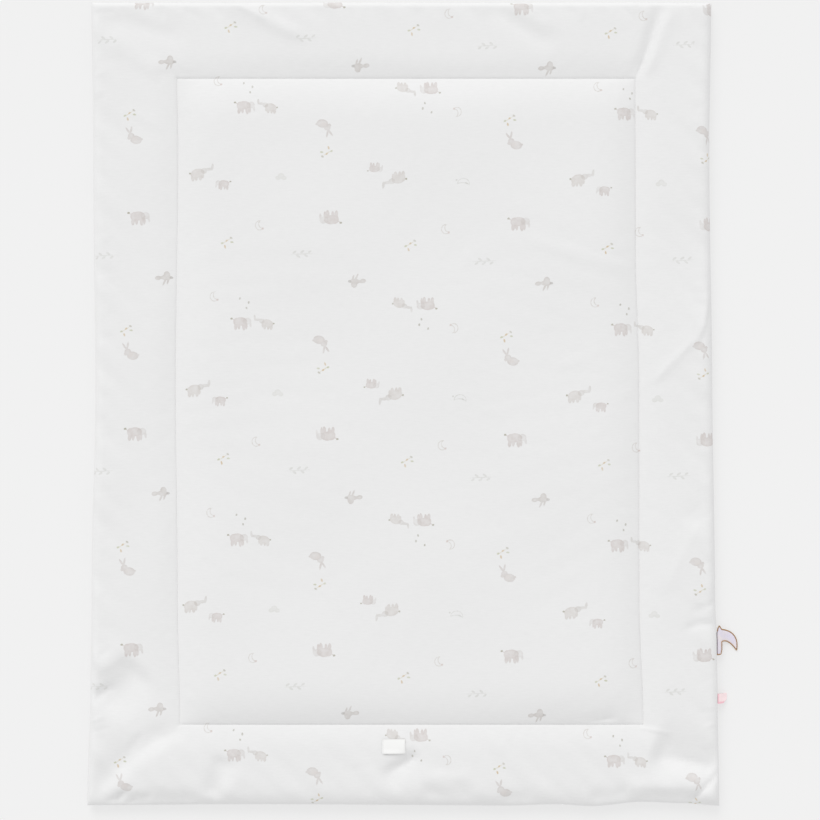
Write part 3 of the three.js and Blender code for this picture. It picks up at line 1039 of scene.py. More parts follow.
    def _cloth_map(self, quilt: Piece, points: Array, s: Array, t: Array) -> None:
        """Lays the cloth's own coordinates over the quilt, in metres of flat cloth.

        Args:
            quilt: The quilt.
            points: The net of its upper face.
            s: The net coordinates across.
            t: Those upwards.
        """
        side, end = self.shape.from_edge(points[..., 0], points[..., 1])
        rolled = ease((self.shape.edge_roll - np.minimum(side, end)) / self.map_roll)
        flat = []
        panel_middle = 1.5
        for axis, keep, net in ((1, rolled[:, 1:], s), (0, rolled[1:], t)):
            step = np.diff(points, axis=axis)
            step[..., 2] *= keep
            length = np.cumsum(np.linalg.norm(step, axis=-1), axis=axis)
            length = np.concatenate([np.zeros_like(length.take([0], axis)), length], axis)
            middle = int(np.argmin(abs(net - panel_middle)))
            value = points[..., 1 - axis].take([middle], axis)
            flat.append((length - length.take([middle], axis) + value).ravel())
        places = np.empty((len(quilt.data.vertices), 3))
        quilt.data.vertices.foreach_get("co", places.reshape(-1))
        cloth = places[:, :2].copy()
        cloth[: flat[0].size] = np.stack(flat, -1) * MM
        lay_cloth(quilt, cloth)

    def dress(self, quilt: Piece, front: Material, back: Material) -> None:
        """Gives the quilt its two cloths and its place in the frame.

        Args:
            quilt: The quilt.
            front: The printed cloth.
            back: The plain cloth.
        """
        quilt.data.materials.append(front)
        quilt.data.materials.append(back)
        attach(quilt, BODY)
        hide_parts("quilt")


class Facing(Enum):
    """How a printed motif is turned: the signs of its own two axes."""

    UPRIGHT = (1, 1)
    TURNED = (-1, -1)
    MIRRORED = (-1, 1)
    TURNED_MIRROR = (1, -1)


@dataclass(frozen=True)
class Blot:
    """One ellipse of a motif, in millimetres, turned in degrees."""

    x: float
    y: float
    across: float
    up: float
    turn: float = 0.0


@dataclass(frozen=True)
class Spot:
    """One place of a motif in the repeat."""

    x: float
    y: float
    scale: float = 1.0
    facing: Facing = Facing.UPRIGHT


@dataclass(frozen=True)
class Wash:
    """One colour of a motif, and the ellipses that it fills.

    line is the width of its outline where only the outline is printed, and cut is an
    ellipse taken out of it.
    """

    colour: str
    strength: float
    blots: tuple[Blot, ...]
    line: float = 0.0
    cut: Blot | None = None


@dataclass(frozen=True)
class Motif:
    """A small printed figure in one or more colours, and its places in the repeat."""

    name: str
    spots: tuple[Spot, ...]
    washes: tuple[Wash, ...]


ELEPHANT = (
    Wash("#cdc5c2", 0.78, (
        Blot(-1.6, 1.2, 8.2, 5.3),
        Blot(-6.6, 0.7, 4.4, 5.1),
        Blot(-7.8, -5.2, 2.1, 4.6, -5),
        Blot(-3.8, -4.9, 1.7, 4.1, 4),
        Blot(2.2, -5.4, 2.1, 4.6, 4),
        Blot(5.4, -4.6, 1.5, 4.0),
        Blot(-11.6, 3.6, 2.4, 0.6, -24),
    )),
    Wash("#cbc6c3", 0.5, (
        Blot(7.2, 1.8, 4.4, 4.2),
        Blot(10.5, -1.6, 1.4, 4.3, 10),
        Blot(3.6, 1.2, 2.4, 3.8, 8),
    )),
    Wash("#a3a08c", 0.8, (Blot(-13.4, 4.6, 1.5, 1.1, 20),)),
)
TRUMPETER = (
    Wash("#d1ccc8", 0.78, (
        Blot(-3.8, -0.6, 7.2, 4.9, 10),
        Blot(-7.6, -2.0, 3.8, 4.2),
        Blot(-9.0, -6.0, 1.9, 3.2),
        Blot(-5.2, -5.8, 1.5, 2.9),
        Blot(-0.8, -5.0, 1.9, 3.4),
        Blot(1.8, -3.4, 1.4, 2.6),
    )),
    Wash("#c9c5c1", 0.58, (
        Blot(3.0, 2.0, 3.5, 3.1, 15),
        Blot(7.8, 3.6, 4.6, 1.6, 6),
        Blot(12.0, 6.2, 1.35, 3.7, -6),
    )),
    Wash("#a3a08c", 0.8, (Blot(-12.2, -0.8, 1.1, 1.0),)),
)
RABBIT = (
    Wash("#cdc7c4", 0.75, (
        Blot(2.2, -7.0, 6.8, 4.9, -6),
        Blot(-3.6, -2.6, 3.9, 3.6),
        Blot(-6.2, -5.2, 1.9, 1.7),
        Blot(-7.4, 3.6, 1.15, 4.4, 36),
        Blot(-3.8, 4.6, 1.15, 4.4, -10),
        Blot(9.0, -6.2, 1.3, 1.2),
    )),
    Wash("#dfd9d6", 0.5, (Blot(0.6, -6.2, 3.4, 2.6, -6),)),
)
BIRD = (
    Wash("#cac5c1", 0.78, (
        Blot(2.2, 1.4, 6.0, 3.3),
        Blot(2.8, 4.6, 3.6, 4.1, 4),
        Blot(-3.0, 1.2, 3.8, 1.7),
        Blot(-7.4, 0.6, 3.6, 2.5, 8),
        Blot(0.2, -3.8, 1.1, 4.3, -24),
        Blot(4.2, -2.8, 1.1, 3.6, -14),
    )),
    Wash("#bbb8b5", 0.76, (Blot(8.2, 1.3, 2.0, 1.5),)),
)
SPRIG = (
    Wash("#d8d2be", 0.7, (Blot(-1.4, 0.9, 5.4, 0.55, 33),)),
    Wash("#bfc1a4", 0.76, (
        Blot(-6.5, -1.7, 1.6, 1.1, 20),
        Blot(5.0, -0.3, 1.9, 1.0, -6),
    )),
    Wash("#b9b6a9", 0.76, (Blot(4.1, 4.7, 1.7, 1.1, -30),)),
    Wash("#cdb58e", 0.76, (
        Blot(-3.0, -5.7, 1.0, 2.0, 16),
        Blot(-1.0, 1.5, 1.5, 1.0, 33),
    )),
)
DROPS = (
    Wash("#b3b1a6", 0.8, (
        Blot(-6.0, 6.0, 1.0, 1.4, -20),
        Blot(4.4, 1.6, 1.1, 1.6),
        Blot(2.0, -5.0, 1.0, 1.4, 16),
    )),
)
MOON = (
    Wash("#d0ccc7", 0.7, (Blot(0.0, 0.0, 5.0, 5.4),), line=0.9, cut=Blot(3.2, 1.6, 4.4, 4.9)),
    Wash("#d3c5c0", 0.7, (Blot(3.6, -3.9, 1.3, 1.2),)),
)
TWIG = (
    Wash("#d6d6d3", 0.74, (
        Blot(0.0, 0.0, 11.0, 0.5, 4),
        Blot(-8.6, 2.0, 2.5, 1.25, 35),
        Blot(-4.4, -2.5, 2.7, 1.3, -34),
        Blot(0.6, 2.6, 2.7, 1.3, 35),
        Blot(5.0, -1.8, 2.6, 1.25, -34),
        Blot(9.4, 2.9, 2.3, 1.2, 35),
    )),
)
CLOUD = (
    Wash("#dcdcd9", 0.78, (
        Blot(0.2, 1.6, 3.7, 3.3),
        Blot(-3.4, -0.8, 3.1, 2.5),
        Blot(3.8, -0.8, 3.0, 2.4),
    )),
)
HILL = (
    Wash("#d4d4d1", 0.76, (Blot(0.0, -2.4, 7.0, 6.4),), line=0.8, cut=Blot(-1.0, -7.4, 10.0, 6.4)),
    Wash("#cfcfcb", 0.74, (
        Blot(-8.4, 2.0, 1.1, 1.0),
        Blot(3.6, -1.6, 2.2, 0.8, -30),
    )),
)

MOTIFS = (
    Motif("twig", (Spot(-123, -80), Spot(92, -85, facing=Facing.TURNED)), TWIG),
    Motif("cloud", (Spot(-149, 10),), CLOUD),
    Motif("hill", (Spot(66, 8),), HILL),
    Motif(
        "moon",
        (Spot(-173, -47), Spot(46, -48), Spot(223, 123), Spot(57, 90, facing=Facing.TURNED)),
        MOON,
    ),
    Motif(
        "elephant",
        (
            Spot(133, -39),
            Spot(-91, -38, facing=Facing.TURNED),
            Spot(-192, 93, 0.93),
            Spot(24, 117, 0.93, Facing.TURNED),
            Spot(-217.5, 0.8, 0.7, Facing.MIRRORED),
            Spot(-37.5, 22.2, 0.7, Facing.TURNED_MIRROR),
        ),
        ELEPHANT,
    ),
    Motif(
        "trumpeter",
        (
            Spot(205, 14, 1.1),
            Spot(-15, 9.5, 1.1, Facing.TURNED),
            Spot(-166, 93, 0.92, Facing.MIRRORED),
            Spot(-4, 117, 0.92, Facing.TURNED_MIRROR),
        ),
        TRUMPETER,
    ),
    Motif("rabbit", (Spot(125, 59), Spot(-99, 67, facing=Facing.TURNED)), RABBIT),
    Motif("bird", (Spot(163, -111), Spot(-58, -110, facing=Facing.TURNED)), BIRD),
    Motif(
        "sprig",
        (
            Spot(120, 82),
            Spot(-96.5, 40, facing=Facing.TURNED),
            Spot(-210.5, -67),
            Spot(5.5, -67),
        ),
        SPRIG,
    ),
    Motif("drops", (Spot(-189, 115), Spot(21, 95, facing=Facing.TURNED)), DROPS),
)


@dataclass(frozen=True)
class NurseryPrint:
    """A scattered watercolour print of small animals, sprigs and moons on a plain repeat.

    soft and wavering are how blurred and how uneven an edge is, merge is how far ellipses
    run together, and wash and ragged are the sizes of the ink's and the edges' unevenness,
    all in millimetres. wash_change is added to a layer's strength where the ink is thin and
    where it is thick. The ink is paler by pool_share from pool_span inside an edge.
    """

    repeat: Row = (448.0, 254.5)
    turn: float = 0.9
    soft: float = 0.35
    wavering: float = 0.9
    line_wavering: float = 1.6
    merge: float = 0.6
    wash: float = 6.25
    ragged: float = 2.0
    wash_span: Row = (0.35, 0.65)
    wash_change: Row = (-0.25, 0.05)
    pool_span: Row = (-2.2, -0.2)
    pool_share: Row = (0.78, 1.0)

    def paint(self, tree: Tree, ground: Socket) -> Socket:
        """Prints every motif over the ground colour.

        Args:
            tree: The material's node tree.
            ground: The colour of the bare cloth.

        Returns:
            The colour of the printed cloth.
        """
        cloth = add_node(tree, "ShaderNodeUVMap", uv_map=CLOTH_MAP)
        turned = {"Rotation": (0, 0, math.radians(self.turn)), "Scale": (1 / MM, 1 / MM, 1 / MM)}
        flat = add_node(tree, "ShaderNodeMapping", {"Vector": cloth, **turned})
        wash = add_node(
            tree, "ShaderNodeTexNoise", {"Vector": flat, "Scale": 1 / self.wash, "Detail": 3.0}
        )
        ragged = add_node(
            tree, "ShaderNodeTexNoise", {"Vector": flat, "Scale": 1 / self.ragged, "Detail": 2.0}
        )
        waver = add_node(
            tree, "ShaderNodeMath", {0: ragged, 1: self.wavering, 2: -self.wavering / 2},
            operation="MULTIPLY_ADD",
        )
        colour = ground
        for motif in MOTIFS:
            local = self._nearest(tree, motif, flat)
            for layer in motif.washes:
                depth = self._ink(tree, layer, local, wash, waver)
                colour = add_node(
                    tree, "ShaderNodeMix", {0: depth, 6: colour, 7: linear(layer.colour)},
                    data_type="RGBA", out=2,
                )
        return colour

    def _ink(self, tree: Tree, layer: Wash, local: Socket, wash: Socket, waver: Socket) -> Socket:
        """Works out how much ink of one colour of a motif lies on each point.

        Args:
            tree: The material's node tree.
            layer: The colour and what it fills.
            local: The motif's own coordinates.
            wash: The unevenness of the ink.
            waver: The unevenness of the edges.

        Returns:
            The share of ink.
        """
        inside = self._union(tree, layer, local)
        edge = layer.line / 2
        if layer.line:
            far = add_node(tree, "ShaderNodeMath", {0: inside}, operation="ABSOLUTE")
            rough = add_node(
                tree, "ShaderNodeMath", {0: waver, 1: self.line_wavering, 2: far},
                operation="MULTIPLY_ADD",
            )
        else:
            rough = add_node(tree, "ShaderNodeMath", {0: inside, 1: waver}, operation="ADD")
        mask = add_node(
            tree, "ShaderNodeMapRange",
            {"Value": rough, "From Min": edge + self.soft, "From Max": edge - self.soft},
            interpolation_type="SMOOTHSTEP",
        )
        ranges = [(wash, self.wash_span, [layer.strength + change for change in self.wash_change])]
        if not layer.line:
            ranges.append((rough, self.pool_span, self.pool_share))
        for value, source, target in ranges:
            ends = zip(("From Min", "From Max", "To Min", "To Max"), (*source, *target))
            share = add_node(tree, "ShaderNodeMapRange", {"Value": value, **dict(ends)})
            mask = add_node(tree, "ShaderNodeMath", {0: mask, 1: share}, operation="MULTIPLY")
        return mask

    def _nearest(self, tree: Tree, motif: Motif, flat: Socket) -> Socket:
        """Works out a motif's own coordinates about the nearest of its places.

        Args:
            tree: The material's node tree.
            motif: The motif.
            flat: The cloth's coordinates in millimetres.

        Returns:
            The motif's coordinates.
        """
        half = (self.repeat[0] / 2, self.repeat[1] / 2, 1.0)
        best = None
        for spot in motif.spots:
            signs = [sign / spot.scale for sign in spot.facing.value]
            steps = (
                ("SUBTRACT", {1: (spot.x, spot.y, 0.0)}),
                ("WRAP", {1: half, 2: tuple(-part for part in half)}),
                ("MULTIPLY", {1: (*signs, 0.0)}),
            )
            own = flat
            for operation, values in steps:
                own = add_node(tree, "ShaderNodeVectorMath", {0: own, **values}, operation=operation)
            if best is None:
                best = own
                continue
            lengths = [
                add_node(tree, "ShaderNodeVectorMath", {0: place}, operation="LENGTH", out=1)
                for place in (own, best)
            ]
            closer = add_node(tree, "ShaderNodeMath", dict(enumerate(lengths)), operation="LESS_THAN")
            best = add_node(tree, "ShaderNodeMix", {0: closer, 4: best, 5: own}, data_type="VECTOR", out=1)
        return best

    def _union(self, tree: Tree, layer: Wash, local: Socket) -> Socket:
        """Measures how far a point lies outside all that one colour fills.

        Args:
            tree: The material's node tree.
            layer: The colour and its ellipses.
            local: The motif's own coordinates.

        Returns:
            The distance in millimetres, negative inside.
        """
        joined = self._blot(tree, layer.blots[0], local)
        for blot in layer.blots[1:]:
            joined = add_node(
                tree, "ShaderNodeMath",
                {0: joined, 1: self._blot(tree, blot, local), 2: self.merge},
                operation="SMOOTH_MIN",
            )
        if layer.cut:
            away = add_node(
                tree, "ShaderNodeMath", {0: self._blot(tree, layer.cut, local), 1: -1.0},
                operation="MULTIPLY",
            )
            joined = add_node(tree, "ShaderNodeMath", {0: joined, 1: away}, operation="MAXIMUM")
        return joined

    def _blot(self, tree: Tree, blot: Blot, local: Socket) -> Socket:
        """Measures how far a point lies outside one ellipse.

        Args:
            tree: The material's node tree.
            blot: The ellipse.
            local: The motif's own coordinates.

        Returns:
            The distance in millimetres, negative inside.
        """
        place = {
            "Location": (blot.x, blot.y, 0.0),
            "Rotation": (0.0, 0.0, math.radians(blot.turn)),
            "Scale": (blot.across, blot.up, 1.0),
        }
        round_one = add_node(tree, "ShaderNodeMapping", {"Vector": local, **place}, vector_type="TEXTURE")
        length = add_node(tree, "ShaderNodeVectorMath", {0: round_one}, operation="LENGTH", out=1)
        size = min(blot.across, blot.up)
        return add_node(tree, "ShaderNodeMath", {0: length, 1: size, 2: -size}, operation="MULTIPLY_ADD")


def new_material(name: str) -> tuple[Material, Tree]:
    """Makes a material whose node tree is still empty.

    Args:
        name: The real material and how its surface was made.

    Returns:
        The material and its node tree.
    """
    material = bpy.data.materials.new(name)
    material.use_nodes = True
    material.node_tree.nodes.clear()
    return material, material.node_tree


def give_surface(tree: Tree, surface: dict) -> None:
    """Ends a material's node tree with its shader.

    Args:
        tree: The material's node tree.
        surface: The shader's socket names to their values, or to the sockets that feed them.
    """
    shader = add_node(tree, "ShaderNodeBsdfPrincipled", surface)
    add_node(tree, "ShaderNodeOutputMaterial", {"Surface": shader})


@dataclass(frozen=True)
class WovenCotton:
    """Plain-woven cotton: a matt face of crossing threads with a little slub and fuzz.

    The threads are 0.35 mm apart in the real cloth. The weave is drawn at twice that, so
    that a little of it shows from a step away. slub is how long a thick place in a thread
    is and crumple how wide the soft creases are, all in millimetres.
    """

    name: str
    colour: str
    print_on_it: NurseryPrint | None
    thread: float = 0.7
    slub: float = 2.5
    slub_stretch: tuple[float, float, float] = (0.25, 1.6, 1.0)
    slub_shades: Row = (0.965, 1.02)
    crumple: float = 14.0
    weave_depth: float = 0.05
    crumple_depth: float = 0.32

    def make(self) -> Material:
        """Builds the material.

        Returns:
            The material.
        """
        material, tree = new_material(self.name)
        cloth = add_node(tree, "ShaderNodeUVMap", uv_map=CLOTH_MAP)
        flat = add_node(tree, "ShaderNodeVectorMath", {0: cloth, "Scale": 1.0 / MM}, operation="SCALE")
        drawn = add_node(tree, "ShaderNodeMapping", {"Vector": flat, "Scale": self.slub_stretch})
        uneven = add_node(
            tree, "ShaderNodeTexNoise", {"Vector": drawn, "Scale": 1 / self.slub, "Detail": 2.0}
        )
        dark, light = (shaded(linear(self.colour), share) for share in self.slub_shades)
        colour = add_node(tree, "ShaderNodeMix", {0: uneven, 6: dark, 7: light}, data_type="RGBA", out=2)
        if self.print_on_it:
            colour = self.print_on_it.paint(tree, colour)
        waves = [
            add_node(
                tree, "ShaderNodeTexWave",
                {"Vector": flat, "Scale": WAVE_LENGTH / self.thread, "Distortion": 0.6, "Detail": 1.0},
                wave_type="BANDS", bands_direction=direction, out=1,
            )
            for direction in ("X", "Y")
        ]
        threads = add_node(tree, "ShaderNodeMath", dict(enumerate(waves)), operation="MAXIMUM")
        weave = add_node(
            tree, "ShaderNodeBump",
            {"Height": threads, "Distance": self.weave_depth * MM, "Strength": 0.5},
        )
        creases = add_node(
            tree, "ShaderNodeTexNoise",
            {"Vector": flat, "Scale": 1 / self.crumple, "Detail": 4.0, "Roughness": 0.55},
        )
        crumpled = add_node(
            tree, "ShaderNodeBump",
            {"Height": creases, "Distance": self.crumple_depth * MM, "Strength": 0.6, "Normal": weave},
        )
        give_surface(tree, {
            "Base Color": colour,
            "Normal": crumpled,
            "Roughness": 0.92,
            "Specular IOR Level": 0.25,
            "Sheen Weight": 0.12,
            "Sheen Roughness": 0.5,
        })
        return material


@dataclass(frozen=True)
class StitchedThread:
    """Spun or filament sewing thread, with its ply as a fine twist.

    A thread's ply turns once in about 0.6 mm, and its hollows are painted in shade, darker by
    hollow_shade.
    """

    name: str
    colour: str
    roughness: float
    sheen: float
    twist: float = 0.6
    twist_depth: float = 0.08
    hollow_shade: float = 0.82

    def make(self) -> Material:
        """Builds the material.

        Returns:
            The material.
        """
        material, tree = new_material(self.name)
        place = add_node(tree, "ShaderNodeTexCoord", out="Object")
        ply = {"Vector": place, "Scale": 1 / (self.twist * MM), "Detail": 2.0}
        twist = add_node(tree, "ShaderNodeTexNoise", ply)
        base = linear(self.colour)
        # Painted shade: the ply's hollows are darker
        tint = add_node(
            tree, "ShaderNodeMix", {0: twist, 6: shaded(base, self.hollow_shade), 7: base},
            data_type="RGBA", out=2,
        )
        bump = add_node(
            tree, "ShaderNodeBump",
            {"Height": twist, "Distance": self.twist_depth * MM, "Strength": 0.5},
        )
        give_surface(tree, {
            "Base Color": tint,
            "Normal": bump,
            "Roughness": self.roughness,
            "Sheen Weight": self.sheen,
        })
        return material


@dataclass(frozen=True)
class WovenRibbon:
    """Satin-woven ribbon or label: close ribs across it, a soft gleam and edges of a deeper tone.

    rib is the distance between ribs in millimetres. middle is where the plain part lies
    between the two edges, 0.0 where only the far edge takes the edge colour, and edge_share
    is how much of the width an edge takes, its outer part fully. On a label the edge colour
    is the selvedge's own tone. On the ribbon, whose far edge is its lower side, it is partly
    its selvedge's pink and partly painted shade. seam_share is how much of the length beside
    a seam is painted in shade, with up to seam_shade_strength of the edge colour.
    """

    name: str
    colour: str
    edge_and_shade_colour: str
    roughness: float
    rib: float
    edge_share: float
    middle: float = 0.5
    seam_share: float = 0.0
    edge_full: float = 0.4
    seam_shade_full: float = 0.5
    seam_shade_strength: float = 0.7
    rib_depth: float = 0.04

    def make(self) -> Material:
        """Builds the material, which reads the piece's own map of shares out and across.

        Returns:
            The material.
        """
        material, tree = new_material(self.name)
        share = add_node(tree, "ShaderNodeUVMap", uv_map=CLOTH_MAP)
        parts = add_node(tree, "ShaderNodeSeparateXYZ", {0: share}).node.outputs
        off = add_node(tree, "ShaderNodeMath", {0: parts[1], 1: self.middle}, operation="SUBTRACT")
        far = add_node(tree, "ShaderNodeMath", {0: off}, operation="ABSOLUTE")
        reach = max(self.middle, 1.0 - self.middle)
        # The edge colour: a selvedge's own tone, and on the ribbon's lower side partly painted shade
        edge_and_shade = add_node(
            tree, "ShaderNodeMapRange",
            {
                "Value": far,
                "From Min": reach - self.edge_share,
                "From Max": reach - self.edge_share * self.edge_full,
            },
            interpolation_type="SMOOTHSTEP",
        )
        # Beside the seam the edge colour is painted shade
        if self.seam_share:
            seam_shade = add_node(
                tree, "ShaderNodeMapRange",
                {
                    "Value": parts[0],
                    "From Min": self.seam_share,
                    "From Max": self.seam_share * self.seam_shade_full,
                    "To Max": self.seam_shade_strength,
                },
                interpolation_type="SMOOTHSTEP",
            )
            edge_and_shade = add_node(tree, "ShaderNodeMath", {0: edge_and_shade, 1: seam_shade}, operation="MAXIMUM")
        tint = add_node(
            tree, "ShaderNodeMix", {0: edge_and_shade, 6: linear(self.colour), 7: linear(self.edge_and_shade_colour)},
            data_type="RGBA", out=2,
        )
        place = add_node(tree, "ShaderNodeTexCoord", out="Object")
        ribs = add_node(
            tree, "ShaderNodeTexWave",
            {"Vector": place, "Scale": WAVE_LENGTH / (self.rib * MM), "Distortion": 0.4},
            wave_type="BANDS", bands_direction="X", out=1,
        )
        bump = add_node(
            tree, "ShaderNodeBump",
            {"Height": ribs, "Distance": self.rib_depth * MM, "Strength": 0.5},
        )
        give_surface(tree, {
            "Base Color": tint,
            "Normal": bump,
            "Roughness": self.roughness,
            "Sheen Weight": 0.3,
        })
        return material


@dataclass(frozen=True)
class BrushedCotton:
    """Soft brushed cotton of the play tag, with a faint bloom of a second tone.

    cloud is how wide a patch of the bloom is and nap how far apart the raised fibres lie,
    in millimetres.
    """

    name: str
    colour: str
    bloom: str
    cloud: float = 9.1
    cloud_span: Row = (0.35, 0.65)
    nap: float = 0.45
    nap_depth: float = 0.15

    def make(self) -> Material:
        """Builds the material.

        Returns:
            The material.
        """
        material, tree = new_material(self.name)
        place = add_node(tree, "ShaderNodeTexCoord", out="Object")
        cloud = {"Vector": place, "Scale": 1 / (self.cloud * MM), "Detail": 2.0}
        cloudy = add_node(tree, "ShaderNodeTexNoise", cloud)
        share = add_node(
            tree, "ShaderNodeMapRange",
            {"Value": cloudy, "From Min": self.cloud_span[0], "From Max": self.cloud_span[1]},
        )
        tint = add_node(
            tree, "ShaderNodeMix", {0: share, 6: linear(self.colour), 7: linear(self.bloom)},
            data_type="RGBA", out=2,
        )
        fibres = {"Vector": place, "Scale": 1 / (self.nap * MM), "Detail": 3.0}
        raised = add_node(tree, "ShaderNodeTexNoise", fibres)
        bump = add_node(
            tree, "ShaderNodeBump",
            {"Height": raised, "Distance": self.nap_depth * MM, "Strength": 0.5},
        )
        give_surface(tree, {"Base Color": tint, "Normal": bump, "Roughness": 0.9, "Sheen Weight": 0.25})
        return material


@dataclass(frozen=True)
class LitTable:
    """A plain pale shooting table of opal acrylic lit from below, so that shadows stay faint.

    patch is how wide an uneven place in the sheet's white is, in millimetres.
    """

    name: str = "opal_acrylic_sheet_lit_below"
    colour: str = "#a0a0a0"
    glow: float = 0.53
    patch: float = 333.3
    patch_shade: float = 0.99

    def make(self) -> Material:
        """Builds the material.

        Returns:
            The material.
        """
        material, tree = new_material(self.name)
        place = add_node(tree, "ShaderNodeTexCoord", out="Object")
        tone = add_node(tree, "ShaderNodeTexNoise", {"Vector": place, "Scale": 1 / (self.patch * MM)})
        base = linear(self.colour)
        tint = add_node(
            tree, "ShaderNodeMix", {0: tone, 6: shaded(base, self.patch_shade), 7: base},
            data_type="RGBA", out=2,
        )
        give_surface(tree, {
            "Base Color": tint,
            "Roughness": 1.0,
            "Specular IOR Level": 0.0,
            "Emission Color": (1.0, 1.0, 1.0, 1.0),
            "Emission Strength": self.glow,
        })
        return material


class Lay(Enum):
    """How a stitch lies to its seam."""

    ALONG = "along"
    ACROSS = "across"


@dataclass(frozen=True)
class StitchRun:
    """A row of like stitches that Geometry Nodes lay along a path.

    length is a stitch's own length, pitch the distance from one to the next and thread its
    thickness, in millimetres. height is its height where that isn't the thread's.
    """

    name: str
    lay: Lay
    pitch: float
    length: float
    thread: float
    height: float = 0.0
    sides: int = 6
    rings: int = 4

    def build(self, path: Array, closed: bool, material: Material) -> Piece:
        """Lays the stitches along a path.

        Args:
            path: The points of the path in millimetres.
            closed: True where the last point joins the first.
            material: The thread's material.

        Returns:
            The stitches as one plain mesh.
        """
        numbers = range(len(path))
        edges = list(zip(numbers, numbers[1:]))
        if closed:
            edges.append((numbers[-1], 0))
        seam = mesh_object(self.name, path, [], edges)
        modifier = seam.modifiers.new("Stitches", "NODES")
        modifier.node_group = self._tree()
        values = {
            "Pitch": self.pitch * MM,
            "Length": self.length * MM,
            "Thread": self.thread * MM,
            "Height": (self.height or self.thread) * MM,
            "Material": material,
        }
        for item in modifier.node_group.interface.items_tree:
            if item.item_type == "SOCKET" and item.in_out == "INPUT" and item.name in values:
                modifier[item.identifier] = values[item.name]
        bpy.context.view_layer.update()
        evaluated = seam.evaluated_get(bpy.context.evaluated_depsgraph_get())
        plain = bpy.data.meshes.new_from_object(evaluated)
        seam.modifiers.clear()
        seam.data = plain
        plain.name = self.name
        shade_smooth(seam)
        return seam

    def _tree(self) -> Tree:
        """Builds the node tree with its named inputs.

        Returns:
            The tree.
        """
        tree = bpy.data.node_groups.new(self.name + "_tree", "GeometryNodeTree")
        sockets = [("Geometry", "Geometry"), ("Material", "Material")]
        sockets += [(name, "Float") for name in ("Pitch", "Length", "Thread", "Height")]
        for name, kind in sockets:
            tree.interface.new_socket(name, in_out="INPUT", socket_type="NodeSocket" + kind)
        tree.interface.new_socket("Geometry", in_out="OUTPUT", socket_type="NodeSocketGeometry")
        given = add_node(tree, "NodeGroupInput").node.outputs
        curve = add_node(tree, "GeometryNodeMeshToCurve", {"Mesh": given["Geometry"]})
        points = add_node(
            tree, "GeometryNodeCurveToPoints", {"Curve": curve, "Length": given["Pitch"]},
            mode="LENGTH",
        ).node.outputs
        bead = add_node(
            tree, "GeometryNodeMeshUVSphere",
            {"Segments": self.sides, "Rings": self.rings, "Radius": 0.5},
        )
        size = dict(enumerate(given[name] for name in ("Length", "Thread", "Height")))
        scale = add_node(tree, "ShaderNodeCombineXYZ", size)
        stitch = add_node(tree, "GeometryNodeTransform", {"Geometry": bead, "Scale": scale})
        heading = points["Tangent"]
        if self.lay is Lay.ACROSS:
            heading = add_node(
                tree, "ShaderNodeVectorMath", {0: heading, 1: (0.0, 0.0, 1.0)},
                operation="CROSS_PRODUCT",
            )
        turned = add_node(tree, "FunctionNodeAlignRotationToVector", {"Vector": heading}, axis="X")
        placed = add_node(
            tree, "GeometryNodeInstanceOnPoints",
            {"Points": points["Points"], "Instance": stitch, "Rotation": turned},
        )
        solid = add_node(tree, "GeometryNodeRealizeInstances", {"Geometry": placed})
        dressed = add_node(
            tree, "GeometryNodeSetMaterial", {"Geometry": solid, "Material": given["Material"]}
        )
        add_node(tree, "NodeGroupOutput", {"Geometry": dressed})
        return tree


@dataclass
class SewnRectangle:
    """The line of stitches that holds the wadding in its two fields.

    step is the distance between the path's points on its long sides and end_points how many
    there are on a short one. sink is how deep the path lies in the channel.
    """

    shape: QuiltShape
    step: float = 6.0
    end_points: int = 90
    sink: float = 0.6
    pitch: float = 2.8
    length: float = 2.5
    thread: float = 0.34

    def build(self, thread: Material) -> Piece:
        """Lays the stitches in the bottom of the channel.

        Args:
            thread: The thread's material.

        Returns:
            The stitches.
        """
        left, right = self.shape.seam_left, self.shape.seam_right
        low, high = self.shape.seam_bottom_y, self.shape.seam_top_y
        up = np.arange(low, high, self.step)
        down = np.minimum(up[::-1] + self.step, high)
        (low_left, high_left), (low_right, high_right) = (
            along(rows, np.array([low, high])) for rows in (left, right)
        )
        bottom = np.linspace(low_left, low_right, self.end_points)[:-1]
        top = np.linspace(high_right, high_left, self.end_points)[:-1]
        x = np.concatenate([bottom, along(right, up), top, along(left, down)])
        y = np.concatenate([np.full_like(bottom, low), up, np.full_like(top, high), down])
        z = np.full_like(x, self.shape.seam_height - self.sink)
        run = StitchRun("seam_stitches", Lay.ALONG, self.pitch, self.length, self.thread)
        stitches = run.build(np.stack([x, y, z], -1), True, thread)
        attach(stitches, BODY)
        return stitches


